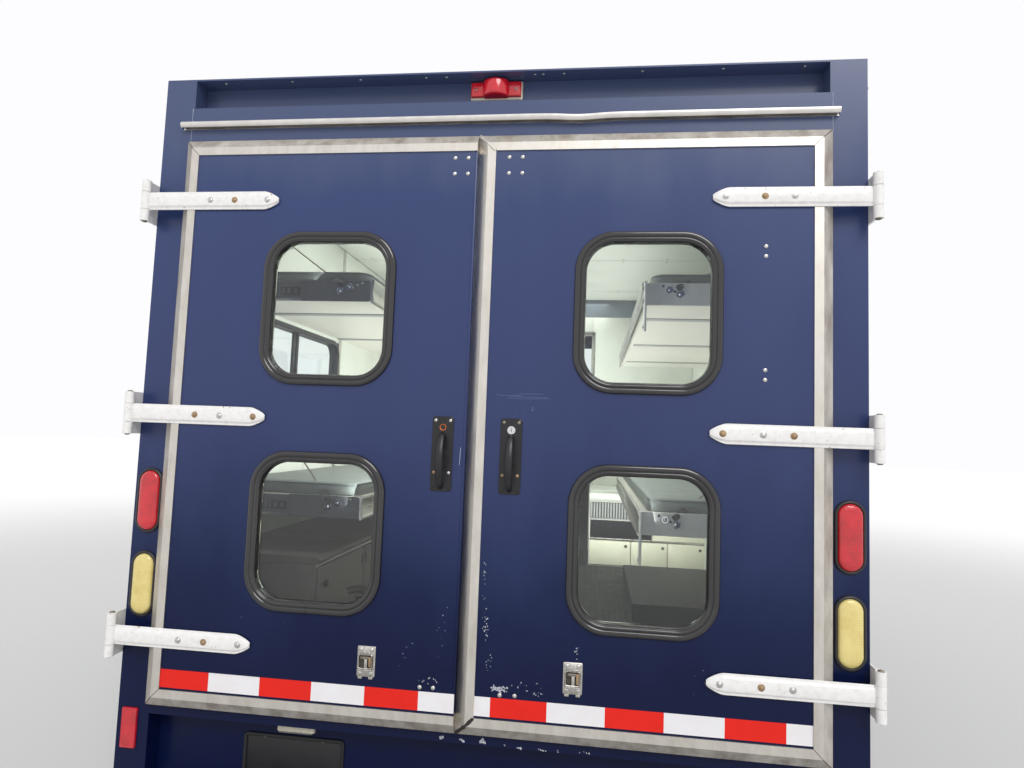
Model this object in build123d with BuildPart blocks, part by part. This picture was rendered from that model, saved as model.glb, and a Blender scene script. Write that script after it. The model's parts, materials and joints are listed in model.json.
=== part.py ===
from build123d import *
import os
from math import cos, hypot, pi, sin, sqrt

os.makedirs("parts", exist_ok=True)

# Ambulance on a walk-in van body. Millimetres, X to the right seen from behind,
# Y forwards and Z up from the ground. The rear face is the one that was measured.

# Body shell
half_width = 1043          # body side from the centre line
wall = 40                  # thickness of walls, roof and nose
roof_top = 2593
roof_depth = 93            # height of the roof's edge above the walls
roof_join = roof_top - roof_depth
skirt = 480                # lower edge of the walls and posts
rear_plane = -2770         # outer face of the rear posts
cowl_y, cowl_z = 2330, 1440    # foot of the windscreen
brow_y = 2090              # top of the windscreen
cowl_lap = 10              # how far the windscreen frame's foot reaches down beside the nose
nose_front = 2900
fit = 0.3                  # gap between pieces that slide or turn on each other
gap = 6                    # running gap round doors and lids

# Rear frame
frame_depth = 80
post_width, post_lap = 143, 45     # post, and how much of it the doors' edges cover
post_inner = half_width - post_width
opening_top, opening_bottom = roof_join - 160, 748
recess_half, recess_height, recess_depth, roof_lip = post_inner + post_lap, 89, 60, 5
recess_bottom = roof_top - roof_lip - recess_height
sill_bottom = 670

# Rear doors, measured from the post plane rearwards
door_edge = post_inner + post_lap      # outer edge of the trim from the centre line
door_top, door_bottom = opening_top + 43, opening_bottom - 44
door_back, door_face = gap, 40
meeting_edge = -33         # free edge of the right door, whose trim covers the middle
meeting_gap = 7
trim_bevel, trim_flange = 30, 24
trim_edge_depth, trim_face = 20, 44

# Windows of the rear doors
gasket_width, gasket_height, gasket_corner = 402, 452, 110
gasket_lip, gasket_ring, gasket_proud = 20, 33, 10
glass_thickness = 6
window_x = 457
window_heights = [door_bottom + share * (door_top - door_bottom) for share in (0.6921, 0.3094)]

# Hinges of the rear doors
hinge_x, hinge_depth = half_width + 7, 48
hinge_heights = [door_bottom + share * (door_top - door_bottom) for share in (0.8827, 0.4997, 0.1173)]
barrel_radius, barrel_half = 13, 62
pin_radius = 5
strap_half, strap_thickness, strap_tip = 27.5, 8, door_edge - 320
leaf_plate, leaf_reach = 6, 70

# Floor and running gear
floor_top, floor_thickness = 740, 50
tyre_radius, tyre_width = 372, 223
rear_axle_y, wheelbase = -1267, 3378
front_axle_y = rear_axle_y + wheelbase
front_track_half = 890
dual_outer, dual_inner = 899, 637
arch_front, arch_rear = 450, 430
floor_under = floor_top - floor_thickness

# Cab doors
cab_door_rear, cab_door_front = 915, 1625
cab_door_bottom, cab_door_top = skirt + 40, roof_join - 230
leaf_lap, leaf_thickness, leaf_gap = 15, 30, 7
cab_slide = 690

sides = (("left", -1), ("right", 1))


def rear_plane_at(y):
    """Plane that faces rearwards at y: the sketch's axes are X and Z."""
    return Plane.XZ.offset(-y)


def side_plane_at(x):
    """Plane that faces the right side at x: the sketch's axes are Y and Z."""
    return Plane.YZ.offset(x)


def block(x, y, z, mode=Mode.ADD):
    """Box between two values of X, of Y and of Z, in the part being built."""
    with Locations((sum(x) / 2, sum(y) / 2, sum(z) / 2)):
        Box(abs(x[1] - x[0]), abs(y[1] - y[0]), abs(z[1] - z[0]), mode=mode)


def save(piece, name):
    """Label a finished piece and write it."""
    piece.part.label = name
    export_step(piece.part, f"parts/{name}.step")


def save_touching(pieces, name):
    """Write pieces that rest on each other as separate solids of one node."""
    group = Compound([solid for piece in pieces for solid in piece.solids()], label=name)
    export_step(group, f"parts/{name}.step")


# Rear frame: posts, header with its recess, sill and the apron set back below it
lamp_x = half_width - 49
lamp_rows = (("stop", 1284), ("turn", 1039))
lamp_hole_width, lamp_hole_height, lamp_hole_depth = 71, 183, 40

with BuildPart() as rear_frame:
    with BuildSketch(rear_plane_at(rear_plane)):
        with Locations((0, (roof_top + skirt) / 2)):
            Rectangle(2 * half_width, roof_top - skirt)
        with Locations((0, (opening_top + opening_bottom) / 2)):
            Rectangle(2 * post_inner, opening_top - opening_bottom, mode=Mode.SUBTRACT)
    extrude(amount=-frame_depth)
    recess_y = (rear_plane, rear_plane + recess_depth)
    block((-recess_half, recess_half), recess_y, (recess_bottom, roof_top - roof_lip), Mode.SUBTRACT)
    block((-recess_half, recess_half), recess_y, (skirt, sill_bottom), Mode.SUBTRACT)
    with BuildSketch(rear_plane_at(rear_plane)):
        with Locations(*[(s * lamp_x, z) for name, s in sides for lamp, z in lamp_rows]):
            SlotOverall(lamp_hole_height, lamp_hole_width, rotation=90)
    extrude(amount=-lamp_hole_depth, mode=Mode.SUBTRACT)
save(rear_frame, "rear_frame")

# Oval lamps in rubber grommets, two to a post
grommet_width, grommet_height, grommet_proud = 81, 193, 8
lens_width, lens_height, lens_proud = 65, 177, 14
lamp_seat = 25             # how far the lamp reaches into the post

with BuildPart() as lamp_grommets:
    for name, s in sides:
        for lamp, z in lamp_rows:
            with BuildSketch(rear_plane_at(rear_plane)):
                with Locations((s * lamp_x, z)):
                    SlotOverall(grommet_height, grommet_width, rotation=90)
            extrude(amount=grommet_proud)
            with BuildSketch(rear_plane_at(rear_plane)):
                with Locations((s * lamp_x, z)):
                    SlotOverall(lamp_hole_height - 2 * fit, lamp_hole_width - 2 * fit, rotation=90)
            extrude(amount=-lamp_seat)
            with BuildSketch(rear_plane_at(rear_plane - grommet_proud)):
                with Locations((s * lamp_x, z)):
                    SlotOverall(lens_height, lens_width, rotation=90)
            extrude(amount=-grommet_proud - lamp_seat, mode=Mode.SUBTRACT)
save(lamp_grommets, "lamp_grommets")

for lamp, z in lamp_rows:
    with BuildPart() as lamps:
        for name, s in sides:
            with BuildSketch(rear_plane_at(rear_plane + lamp_seat)):
                with Locations((s * lamp_x, z)):
                    SlotOverall(lens_height - 2 * fit, lens_width - 2 * fit, rotation=90)
            extrude(amount=lamp_seat + lens_proud)
        chamfer(lamps.faces().group_by(Axis.Y)[0].edges(), 4)
    save(lamps, f"{lamp}_lamps")

# Marker lamp in the header recess and the two reflectors low on the posts
marker_x, marker_width, marker_height, marker_proud = 8, 157, 84, 38
marker_z = recess_bottom + 2 + marker_height / 2
reflector_x, reflector_z, reflector_thickness = (half_width - 64, half_width - 17), (570, 683), 8
recess_back = rear_plane + recess_depth

with BuildPart() as rear_markers:
    with BuildSketch(rear_plane_at(recess_back)):
        with Locations((marker_x, marker_z)):
            RectangleRounded(marker_width, marker_height, 14)
    extrude(amount=marker_proud, taper=12)
    for name, s in sides:
        block([s * v for v in reflector_x], (rear_plane - reflector_thickness, rear_plane), reflector_z)
save(rear_markers, "rear_markers")

# Licence plate on the apron, with its lamp above
plate_x, plate_z, plate_thickness = (-676, -369), (482, 620), 6
plate_lamp_x, plate_lamp_z, plate_lamp_proud = (-569, -456), (634, 652), 22
plate_hole, plate_hole_pitch = 3.5, (177.8, 120.65)

with BuildPart() as licence_plate:
    block(plate_x, (recess_back - plate_thickness, recess_back), plate_z)
    with BuildSketch(rear_plane_at(recess_back)):
        with Locations((sum(plate_x) / 2, sum(plate_z) / 2)):
            with GridLocations(*plate_hole_pitch, 2, 2):
                Circle(plate_hole)
    extrude(amount=plate_thickness, mode=Mode.SUBTRACT)
    block(plate_lamp_x, (recess_back - plate_lamp_proud, recess_back), plate_lamp_z)
save(licence_plate, "licence_plate")

# Hinge leaves on the body's sides: three to a side, two barrels and a pin on each
with BuildPart() as hinge_brackets:
    for name, s in sides:
        for z in hinge_heights:
            pin = (s * hinge_x, rear_plane - hinge_depth)
            side_x = (s * half_width, s * (half_width + leaf_plate))
            block(side_x, (pin[1], rear_plane + leaf_reach), (z - barrel_half, z + barrel_half))
            with Locations((*pin, z)):
                Cylinder(barrel_radius, 2 * barrel_half)
            clear_x = (s * (hinge_x - barrel_radius - gap), s * (hinge_x + barrel_radius + gap))
            clear_y = (pin[1] - barrel_radius - gap, pin[1] + barrel_radius + gap)
            block(clear_x, clear_y, (z - strap_half - fit, z + strap_half + fit), Mode.SUBTRACT)
            with Locations((*pin, z)):
                Cylinder(pin_radius, 2 * strap_half + 2)
save(hinge_brackets, "hinge_brackets")

# Rear doors. The right one's trim goes all the way round, the left one's is open
# at the middle, where its panel ends beside the right door's trim.
# Columns: name, side, free edge, inset of the trim there.
left_free = meeting_edge - meeting_gap
door_rows = (("left", -1, left_free, 0), ("right", 1, meeting_edge, trim_bevel))
handle_rows = {"left": (-98, -284.5), "right": (94.5, 282.5)}
handle_width, handle_top, handle_bottom, handle_plate = 60, 1563, 1356, 3
bar_width, bar_depth, bar_reach, bar_half = 18, 14, 46, 78
catch_width, catch_bottom, catch_top, catch_proud = 50, 845, 926, 22


def door_rectangle(side, free_edge, free_inset, inset):
    """Outline of a door, drawn in by the inset, except at a free edge without trim."""
    outer = side * (door_edge - inset)
    inner = free_edge + side * (inset if free_inset else 0)
    with Locations(((outer + inner) / 2, (door_top + door_bottom) / 2)):
        Rectangle(abs(outer - inner), door_top - door_bottom - 2 * inset)


def door_window(side, narrower, radius_less, height, mode=Mode.ADD):
    """Rounded outline of a window, narrower than its gasket by twice the first value."""
    with Locations((side * window_x, height)):
        RectangleRounded(gasket_width - 2 * narrower, gasket_height - 2 * narrower,
                         gasket_corner - radius_less, mode=mode)


for name, side, free_edge, free_inset in door_rows:
    body = f"rear_door_{name}"
    row = (side, free_edge, free_inset)

    with BuildPart() as panel:
        with BuildSketch(rear_plane_at(rear_plane - door_back)):
            door_rectangle(*row, trim_bevel)
            for height in window_heights:
                door_window(side, gasket_lip, gasket_lip, height, Mode.SUBTRACT)
        extrude(amount=door_face - door_back)
    save(panel, f"{body}_panel")

    with BuildPart() as trim:
        with BuildSketch(rear_plane_at(rear_plane - door_back)):
            door_rectangle(*row, 0)
        extrude(amount=trim_edge_depth - door_back)
        with BuildSketch(rear_plane_at(rear_plane - trim_edge_depth)):
            door_rectangle(*row, 0)
        with BuildSketch(rear_plane_at(rear_plane - trim_face)):
            door_rectangle(*row, trim_bevel)
        loft(ruled=True)
        with BuildSketch(rear_plane_at(rear_plane - door_back)):
            door_rectangle(*row, trim_bevel)
        extrude(amount=door_face - door_back, mode=Mode.SUBTRACT)
        with BuildSketch(rear_plane_at(rear_plane - door_back)):
            door_rectangle(*row, trim_bevel + trim_flange)
        extrude(amount=trim_face, mode=Mode.SUBTRACT)
    save(trim, f"{body}_trim")

    with BuildPart() as gaskets:
        with BuildSketch(rear_plane_at(rear_plane - door_face)):
            for height in window_heights:
                door_window(side, 0, 0, height)
        extrude(amount=gasket_proud)
        chamfer(gaskets.faces().group_by(Axis.Y)[0].edges(), 4)
        with BuildSketch(rear_plane_at(rear_plane - door_back)):
            for height in window_heights:
                door_window(side, gasket_lip + fit, gasket_lip, height)
        extrude(amount=door_face - door_back)
        with BuildSketch(rear_plane_at(rear_plane - door_back)):
            for height in window_heights:
                door_window(side, gasket_ring, gasket_ring, height)
        extrude(amount=door_face + gasket_proud, mode=Mode.SUBTRACT)
    save(gaskets, f"{body}_gaskets")

    with BuildPart() as glass:
        glass_back = (door_face + door_back) / 2
        with BuildSketch(rear_plane_at(rear_plane - glass_back)):
            for height in window_heights:
                door_window(side, gasket_ring + fit, gasket_ring, height)
        extrude(amount=glass_thickness)
    save(glass, f"{body}_glass")

    with BuildPart() as straps:
        pin_y = rear_plane - hinge_depth
        for z in hinge_heights:
            with BuildSketch(rear_plane_at(rear_plane - trim_face)):
                with BuildLine():
                    square_end = side * (strap_tip + 45)
                    Polyline(
                        (side * hinge_x, z + strap_half),
                        (square_end, z + strap_half),
                        (side * strap_tip, z + strap_half / 3),
                        (side * strap_tip, z - strap_half / 3),
                        (square_end, z - strap_half),
                        (side * hinge_x, z - strap_half),
                        close=True,
                    )
                make_face()
            extrude(amount=strap_thickness)
            with Locations((side * hinge_x, pin_y, z)):
                Cylinder(barrel_radius, 2 * strap_half - 2 * fit)
            pad_x = (side * (strap_tip + 50), side * (door_edge - trim_bevel - trim_flange - 5))
            pad_y = (rear_plane - trim_face, rear_plane - door_face)
            block(pad_x, pad_y, (z - strap_half / 2, z + strap_half / 2))
        for z in hinge_heights:
            with Locations((side * hinge_x, pin_y, z)):
                Cylinder(pin_radius + fit, 2 * strap_half + 2, mode=Mode.SUBTRACT)
    save(straps, f"{body}_straps")

    with BuildPart() as fittings:
        handle_x, catch_x = handle_rows[name]
        face_y = rear_plane - door_face
        handle_z = (handle_top + handle_bottom) / 2
        plate_half = handle_width / 2
        block((handle_x - plate_half, handle_x + plate_half), (face_y - handle_plate, face_y),
              (handle_bottom, handle_top))
        grip_x = (handle_x - bar_width / 2, handle_x + bar_width / 2)
        grip_y = face_y - bar_reach
        block(grip_x, (grip_y, grip_y + bar_depth), (handle_z - bar_half, handle_z + bar_half))
        for end in (-1, 1):
            foot = handle_z + end * (bar_half - bar_depth / 2)
            block(grip_x, (grip_y, face_y), (foot - bar_depth / 2, foot + bar_depth / 2))
        catch_half = catch_width / 2
        block((catch_x - catch_half, catch_x + catch_half), (face_y - handle_plate, face_y),
              (catch_bottom, catch_top))
        block((catch_x - catch_half / 2, catch_x + catch_half / 2), (face_y - catch_proud, face_y),
              (catch_bottom + 12, catch_top - 10))
    save(fittings, f"{body}_fittings")

# Side walls: slab sides with wheel arches, a window, the cab's door openings and the door's runner
rake = (cowl_y - brow_y) / (roof_join - cowl_z)
frame_shift = wall * sqrt(1 + rake * rake)     # windscreen frame's thickness along Y
wall_rear = rear_plane + frame_depth
runner_height, runner_depth = 30, 34
leaf_outer = half_width - wall - leaf_gap
leaf_top = cab_door_top + leaf_lap
runner_y = (cab_door_rear - leaf_lap - cab_slide - 10, cab_door_front + leaf_lap + 10)
side_window_y, side_window_z, side_window_corner = (-2330, -1370), (1560, 1940), 60
side_glass_thickness = 6


def side_window(mode=Mode.ADD):
    """Outline of the window in a side wall, on the wall's plane."""
    with Locations((sum(side_window_y) / 2, sum(side_window_z) / 2)):
        RectangleRounded(side_window_y[1] - side_window_y[0], side_window_z[1] - side_window_z[0],
                         side_window_corner, mode=mode)


for name, side in sides:
    with BuildPart() as side_wall:
        inner_x = side * (half_width - wall)
        with BuildSketch(side_plane_at(inner_x)):
            with BuildLine():
                Polyline(
                    (wall_rear, skirt),
                    (cowl_y, skirt),
                    (cowl_y, cowl_z - cowl_lap),
                    (cowl_y - frame_shift + rake * cowl_lap, cowl_z - cowl_lap),
                    (brow_y - frame_shift, roof_join),
                    (wall_rear, roof_join),
                    close=True,
                )
            make_face()
            with Locations((front_axle_y, tyre_radius)):
                Circle(arch_front, mode=Mode.SUBTRACT)
            with Locations((rear_axle_y, tyre_radius)):
                Circle(arch_rear, mode=Mode.SUBTRACT)
            door_middle = ((cab_door_rear + cab_door_front) / 2, (cab_door_bottom + cab_door_top) / 2)
            with Locations(door_middle):
                RectangleRounded(cab_door_front - cab_door_rear, cab_door_top - cab_door_bottom, 60,
                                 mode=Mode.SUBTRACT)
            side_window(Mode.SUBTRACT)
        extrude(amount=side * wall)
        runner_z = (leaf_top + fit, leaf_top + fit + runner_height)
        block((inner_x, inner_x - side * runner_depth), runner_y, runner_z)
    save(side_wall, f"side_wall_{name}")

with BuildPart() as side_windows:
    for name, side in sides:
        with BuildSketch(side_plane_at(side * (half_width - (wall + side_glass_thickness) / 2))):
            side_window()
        extrude(amount=side * side_glass_thickness)
save(side_windows, "side_windows")

# Cab doors: a leaf on each side that slides rearwards inside the wall
cab_glass_side, cab_glass_bottom, cab_glass_top, cab_glass_corner = 105, 1430, cab_door_top - 100, 50
cab_glass_thickness = 6

for name, side in sides:
    leaf_y = (cab_door_rear - leaf_lap, cab_door_front + leaf_lap)
    leaf_z = (cab_door_bottom + 10, leaf_top)
    glass_middle = (sum(leaf_y) / 2, (cab_glass_bottom + cab_glass_top) / 2)
    glass_size = (leaf_y[1] - leaf_y[0] - 2 * cab_glass_side, cab_glass_top - cab_glass_bottom)

    with BuildPart() as cab_door:
        with BuildSketch(side_plane_at(side * leaf_outer)):
            with Locations((sum(leaf_y) / 2, sum(leaf_z) / 2)):
                Rectangle(leaf_y[1] - leaf_y[0], leaf_z[1] - leaf_z[0])
            with Locations(glass_middle):
                RectangleRounded(*glass_size, cab_glass_corner, mode=Mode.SUBTRACT)
        extrude(amount=-side * leaf_thickness)
    save(cab_door, f"cab_door_{name}")

    with BuildPart() as cab_glass:
        pane_x = side * (leaf_outer - leaf_thickness / 2)
        with BuildSketch(side_plane_at(pane_x)):
            with Locations(glass_middle):
                RectangleRounded(*[v - 2 * fit for v in glass_size], cab_glass_corner)
        extrude(amount=side * cab_glass_thickness)
    save(cab_glass, f"cab_door_{name}_glass")

# Roof: a shallow tray turned over, with its front end raked like the windscreen, and a vent
vent_half, vent_y, vent_curb = 200, (-1100, -700), 24
vent_lid, vent_lip, vent_corner, vent_slope = 34, 15, 40, 20
with BuildPart() as roof:
    roof_brow = brow_y - rake * (roof_top - roof_join)
    with BuildSketch(side_plane_at(-half_width)):
        with BuildLine():
            Polyline((wall_rear, roof_join), (brow_y, roof_join), (roof_brow, roof_top),
                     (wall_rear, roof_top), close=True)
        make_face()
    extrude(amount=2 * half_width)
    inside = half_width - wall
    block((-inside, inside), (wall_rear, brow_y - frame_shift - 20), (roof_join, roof_top - wall),
          Mode.SUBTRACT)
    block((-vent_half, vent_half), vent_y, (roof_top, roof_top + vent_curb))
    with BuildSketch(Plane.XY.offset(roof_top + vent_curb)):
        with Locations((0, sum(vent_y) / 2)):
            RectangleRounded(2 * (vent_half + vent_lip), vent_y[1] - vent_y[0] + 2 * vent_lip, vent_corner)
    extrude(amount=vent_lid, taper=vent_slope)
save(roof, "roof")

# Windscreen frame and nose: fenders, hood opening, grille opening and lamp holes
nose_shoulder_y, nose_shoulder_z, nose_brow = 2840, 1290, 1220
nose_bottom, fender_bottom, nose_corner = 700, 560, 110
hood_half, hood_rear, hood_front, hood_thickness = 620, 2400, 2832, 30
hood_slope = (cowl_z - nose_shoulder_z) / (nose_shoulder_y - cowl_y)
grille_half, grille_bottom, grille_top = 520, 770, 1120
headlamp_x, headlamp_z, headlamp_radius = 745, 950, 95
screen_post, screen_side, screen_low, screen_high, screen_corner = 35, 85, 70, 75, 55
hood_pin_radius, hood_barrel_radius, hood_barrel_length = 3, 5.5, 60
hood_barrels = (-430, 430)
screen_length = hypot(cowl_y - brow_y, roof_join - cowl_z)
screen_plane = Plane(
    origin=(0, cowl_y, cowl_z),
    x_dir=(1, 0, 0),
    z_dir=(0, -(roof_join - cowl_z) / screen_length, -(cowl_y - brow_y) / screen_length),
)
pane_width = half_width - screen_side - screen_post
pane_height = screen_length - screen_low - screen_high
pane_places = [(s * (screen_post + pane_width / 2), screen_low + pane_height / 2) for n, s in sides]


def hood_line(y):
    """Height of the nose's top at y."""
    return cowl_z - hood_slope * (y - cowl_y)


def headlamp_places():
    """Centres of the two headlamps, seen from behind."""
    return [(s * headlamp_x, headlamp_z) for n, s in sides]


with BuildPart() as nose:
    with BuildSketch(side_plane_at(-half_width)):
        with BuildLine():
            Polyline(
                (cowl_y, cowl_z),
                (nose_shoulder_y, nose_shoulder_z),
                (nose_front, nose_brow),
                (nose_front, fender_bottom),
                (cowl_y, fender_bottom),
                close=True,
            )
        make_face()
    extrude(amount=2 * half_width)
    with BuildSketch(Plane.XY.offset(fender_bottom)):
        with Locations((0, (cowl_y + nose_front) / 2)):
            Rectangle(2 * half_width, nose_front - cowl_y)
        fillet(vertices().group_by(Axis.Y)[-1], nose_corner)
    extrude(amount=cowl_z - fender_bottom, mode=Mode.INTERSECT)
    with BuildSketch(side_plane_at(-half_width + wall)):
        with BuildLine():
            Polyline(
                (cowl_y, cowl_z - wall),
                (nose_shoulder_y - wall / 2, nose_shoulder_z - wall),
                (nose_front - wall, nose_brow - wall / 2),
                (nose_front - wall, fender_bottom),
                (cowl_y, fender_bottom),
                close=True,
            )
        make_face()
    extrude(amount=2 * (half_width - wall), mode=Mode.SUBTRACT)
    block((-half_width + nose_corner, half_width - nose_corner), (nose_front - wall - 1, nose_front),
          (fender_bottom, nose_bottom), Mode.SUBTRACT)
    block((-hood_half, hood_half), (hood_rear, hood_front), (nose_brow, cowl_z), Mode.SUBTRACT)
    block((-grille_half, grille_half), (nose_front - wall - 1, nose_front), (grille_bottom, grille_top),
          Mode.SUBTRACT)
    with BuildSketch(rear_plane_at(nose_front)):
        with Locations(*headlamp_places()):
            Circle(headlamp_radius)
    extrude(amount=wall + 1, mode=Mode.SUBTRACT)
    with BuildSketch(side_plane_at(-half_width)):
        with Locations((front_axle_y, tyre_radius)):
            Circle(arch_front)
    extrude(amount=2 * half_width, mode=Mode.SUBTRACT)
    block((-half_width + wall, half_width - wall), (cowl_y - frame_shift, cowl_y + 1),
          (cowl_z - wall, cowl_z))
    for x in hood_barrels:
        for end in (-1, 1):
            barrel_x = x + end * hood_barrel_length
            barrel_reach = hood_barrel_length / 2 - fit
            with Locations((barrel_x, hood_rear + gap, hood_line(hood_rear + gap))):
                Cylinder(hood_barrel_radius, 2 * barrel_reach, rotation=(0, 90, 0))
            block((barrel_x - barrel_reach, barrel_x + barrel_reach), (hood_rear - 2, hood_rear + gap),
                  (hood_line(hood_rear + gap) - hood_barrel_radius + 1.5, hood_line(hood_rear + gap)))
        with Locations((x, hood_rear + gap, hood_line(hood_rear + gap))):
            Cylinder(hood_pin_radius, 2 * hood_barrel_length, rotation=(0, 90, 0))

with BuildPart() as screen_frame:
    with BuildSketch(screen_plane):
        with Locations((0, screen_length / 2 - cowl_lap)):
            Rectangle(2 * half_width, screen_length + 2 * cowl_lap)
        with Locations(*pane_places):
            RectangleRounded(pane_width, pane_height, screen_corner, mode=Mode.SUBTRACT)
    extrude(amount=wall)
    block((-half_width, half_width), (cowl_y - frame_shift - 15, cowl_y),
          (cowl_z - 60, cowl_z - cowl_lap), Mode.SUBTRACT)
    add(nose.part, mode=Mode.SUBTRACT)
save_touching((nose, screen_frame), "cab_front")

# Windscreen: two flat panes
with BuildPart() as windscreen:
    with BuildSketch(screen_plane.offset(wall / 2)):
        with Locations(*pane_places):
            RectangleRounded(pane_width - 2 * fit, pane_height - 2 * fit, screen_corner)
    extrude(amount=glass_thickness)
save(windscreen, "windscreen")

# Hood, hinged along its rear edge
with BuildPart() as hood:
    lid_rear, lid_front = hood_rear + gap, hood_front - gap
    with BuildSketch(side_plane_at(-hood_half + gap)):
        with BuildLine():
            Polyline(
                (lid_rear, hood_line(lid_rear)),
                (lid_front, hood_line(lid_front)),
                (lid_front, hood_line(lid_front) - hood_thickness),
                (lid_rear, hood_line(lid_rear) - hood_thickness),
                close=True,
            )
        make_face()
    extrude(amount=2 * (hood_half - gap))
    for x in hood_barrels:
        for end in (-1, 1):
            relief = hood_barrel_radius + gap
            block((x + end * hood_barrel_length / 2, x + end * (1.5 * hood_barrel_length + gap)),
                  (lid_rear - relief, lid_rear + relief),
                  (hood_line(lid_rear) - hood_thickness - relief, hood_line(lid_rear) + relief),
                  Mode.SUBTRACT)
        with Locations((x, lid_rear, hood_line(lid_rear))):
            Cylinder(hood_barrel_radius, hood_barrel_length, rotation=(0, 90, 0))
            Cylinder(hood_pin_radius + fit, hood_barrel_length, rotation=(0, 90, 0), mode=Mode.SUBTRACT)
save(hood, "hood")

# Grille: a frame with level slats
slat_count, slat_height, slat_depth, grille_rim = 8, 16, 26, 22
with BuildPart() as grille:
    grille_y = (nose_front - wall, nose_front - 6)
    block((-grille_half, grille_half), grille_y, (grille_bottom, grille_top))
    block((-grille_half + grille_rim, grille_half - grille_rim), grille_y,
          (grille_bottom + grille_rim, grille_top - grille_rim), Mode.SUBTRACT)
    slat_pitch = (grille_top - grille_bottom - 2 * grille_rim) / (slat_count + 1)
    for i in range(slat_count):
        slat_z = grille_bottom + grille_rim + (i + 1) * slat_pitch
        block((-grille_half + grille_rim, grille_half - grille_rim),
              (grille_y[0], grille_y[0] + slat_depth), (slat_z - slat_height / 2, slat_z + slat_height / 2))
save(grille, "grille")

# Headlamps: round, each with its bezel
bezel_width, bezel_proud, lens_crown = 18, 10, 24
with BuildPart() as headlamps:
    for x, z in headlamp_places():
        with BuildSketch(rear_plane_at(nose_front - wall)):
            with Locations((x, z)):
                Circle(headlamp_radius - fit)
        extrude(amount=-wall)
        with BuildSketch(rear_plane_at(nose_front)):
            with Locations((x, z)):
                Circle(headlamp_radius + bezel_width)
        extrude(amount=-bezel_proud, taper=25)
        with BuildSketch(rear_plane_at(nose_front + bezel_proud)):
            with Locations((x, z)):
                Circle(headlamp_radius - bezel_width)
        extrude(amount=-(lens_crown - bezel_proud), taper=45)
save(headlamps, "headlamps")

# Chassis frame: two channel rails and their cross-members
rail_outer, rail_width, rail_height, rail_web = 432, 62, 160, 8
rail_y = (-2680, 2950)
rail_top = floor_under
rail_bottom = rail_top - rail_height
member_places = (-2640, -1900, -930, -150, 700, 1200, 2500)
member_width, member_height = 60, 90
flap_x, flap_bottom = (530, half_width - wall - 4), 160
flap_y, flap_thickness = -1760, 8

with BuildPart() as chassis_frame:
    for name, s in sides:
        with BuildSketch(rear_plane_at(rail_y[0])):
            with BuildLine():
                inner = rail_outer - rail_width
                Polyline(
                    (s * rail_outer, rail_top),
                    (s * rail_outer, rail_bottom),
                    (s * inner, rail_bottom),
                    (s * inner, rail_bottom + rail_web),
                    (s * (rail_outer - rail_web), rail_bottom + rail_web),
                    (s * (rail_outer - rail_web), rail_top - rail_web),
                    (s * inner, rail_top - rail_web),
                    (s * inner, rail_top),
                    close=True,
                )
            make_face()
        extrude(amount=-(rail_y[1] - rail_y[0]))
    reach = rail_outer - rail_web
    for y in member_places:
        block((-reach, reach), (y - member_width / 2, y + member_width / 2),
              (rail_top - rail_web - member_height, rail_top - rail_web))
    for name, s in sides:
        block((s * flap_x[0], s * flap_x[1]), (flap_y, flap_y + flap_thickness), (flap_bottom, floor_under))
save(chassis_frame, "chassis_frame")

# Leaf springs: arcs laid on each other, shorter towards the bottom
# Columns: axle Y, axle seat Z, X of the spring's middle, half length, leaves, rise of the ends
spring_width, leaf_thick = 60, 11
front_seat, rear_seat = 410, 434
front_spring_x, rear_spring_x = 401, 478
spring_rows = (
    (front_axle_y, front_seat, front_spring_x, 600, 4, 46),
    (rear_axle_y, rear_seat, rear_spring_x, 680, 6, 60),
)
eye_radius = 17

with BuildPart() as leaf_springs:
    for axle_y, seat, spring_x, half, leaves, rise in spring_rows:
        top = seat + leaves * leaf_thick
        arc_radius = (half * half + rise * rise) / (2 * rise)
        centre_z = top + arc_radius
        for name, s in sides:
            for i in range(leaves):
                reach = half * (1 - 0.14 * i)
                inner_r = arc_radius + i * leaf_thick
                outer_r = inner_r + leaf_thick
                tilt = reach / arc_radius
                ends = [(axle_y + e * r * sin(tilt), centre_z - r * cos(tilt))
                        for r in (inner_r, outer_r) for e in (-1, 1)]
                with BuildSketch(side_plane_at(s * spring_x - spring_width / 2)):
                    with BuildLine():
                        ThreePointArc(ends[0], (axle_y, centre_z - inner_r), ends[1])
                        Line(ends[1], ends[3])
                        ThreePointArc(ends[3], (axle_y, centre_z - outer_r), ends[2])
                        Line(ends[2], ends[0])
                    make_face()
                extrude(amount=spring_width)
            main_tilt = half / arc_radius
            for e in (-1, 1):
                eye_y = axle_y + e * (arc_radius * sin(main_tilt) + eye_radius / 2)
                eye_z = centre_z - arc_radius * cos(main_tilt) + eye_radius / 3
                with Locations((s * spring_x, eye_y, eye_z)):
                    Cylinder(eye_radius, spring_width, rotation=(0, 90, 0))
                hanger_y = (eye_y - eye_radius, eye_y + eye_radius)
                if spring_x < rail_outer:
                    block((s * spring_x - spring_width / 2, s * spring_x + spring_width / 2), hanger_y,
                          (eye_z, rail_bottom))
                else:
                    block((s * rail_outer, s * (spring_x + spring_width / 2)), hanger_y,
                          (eye_z, rail_top - 30))
save(leaf_springs, "leaf_springs")

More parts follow.
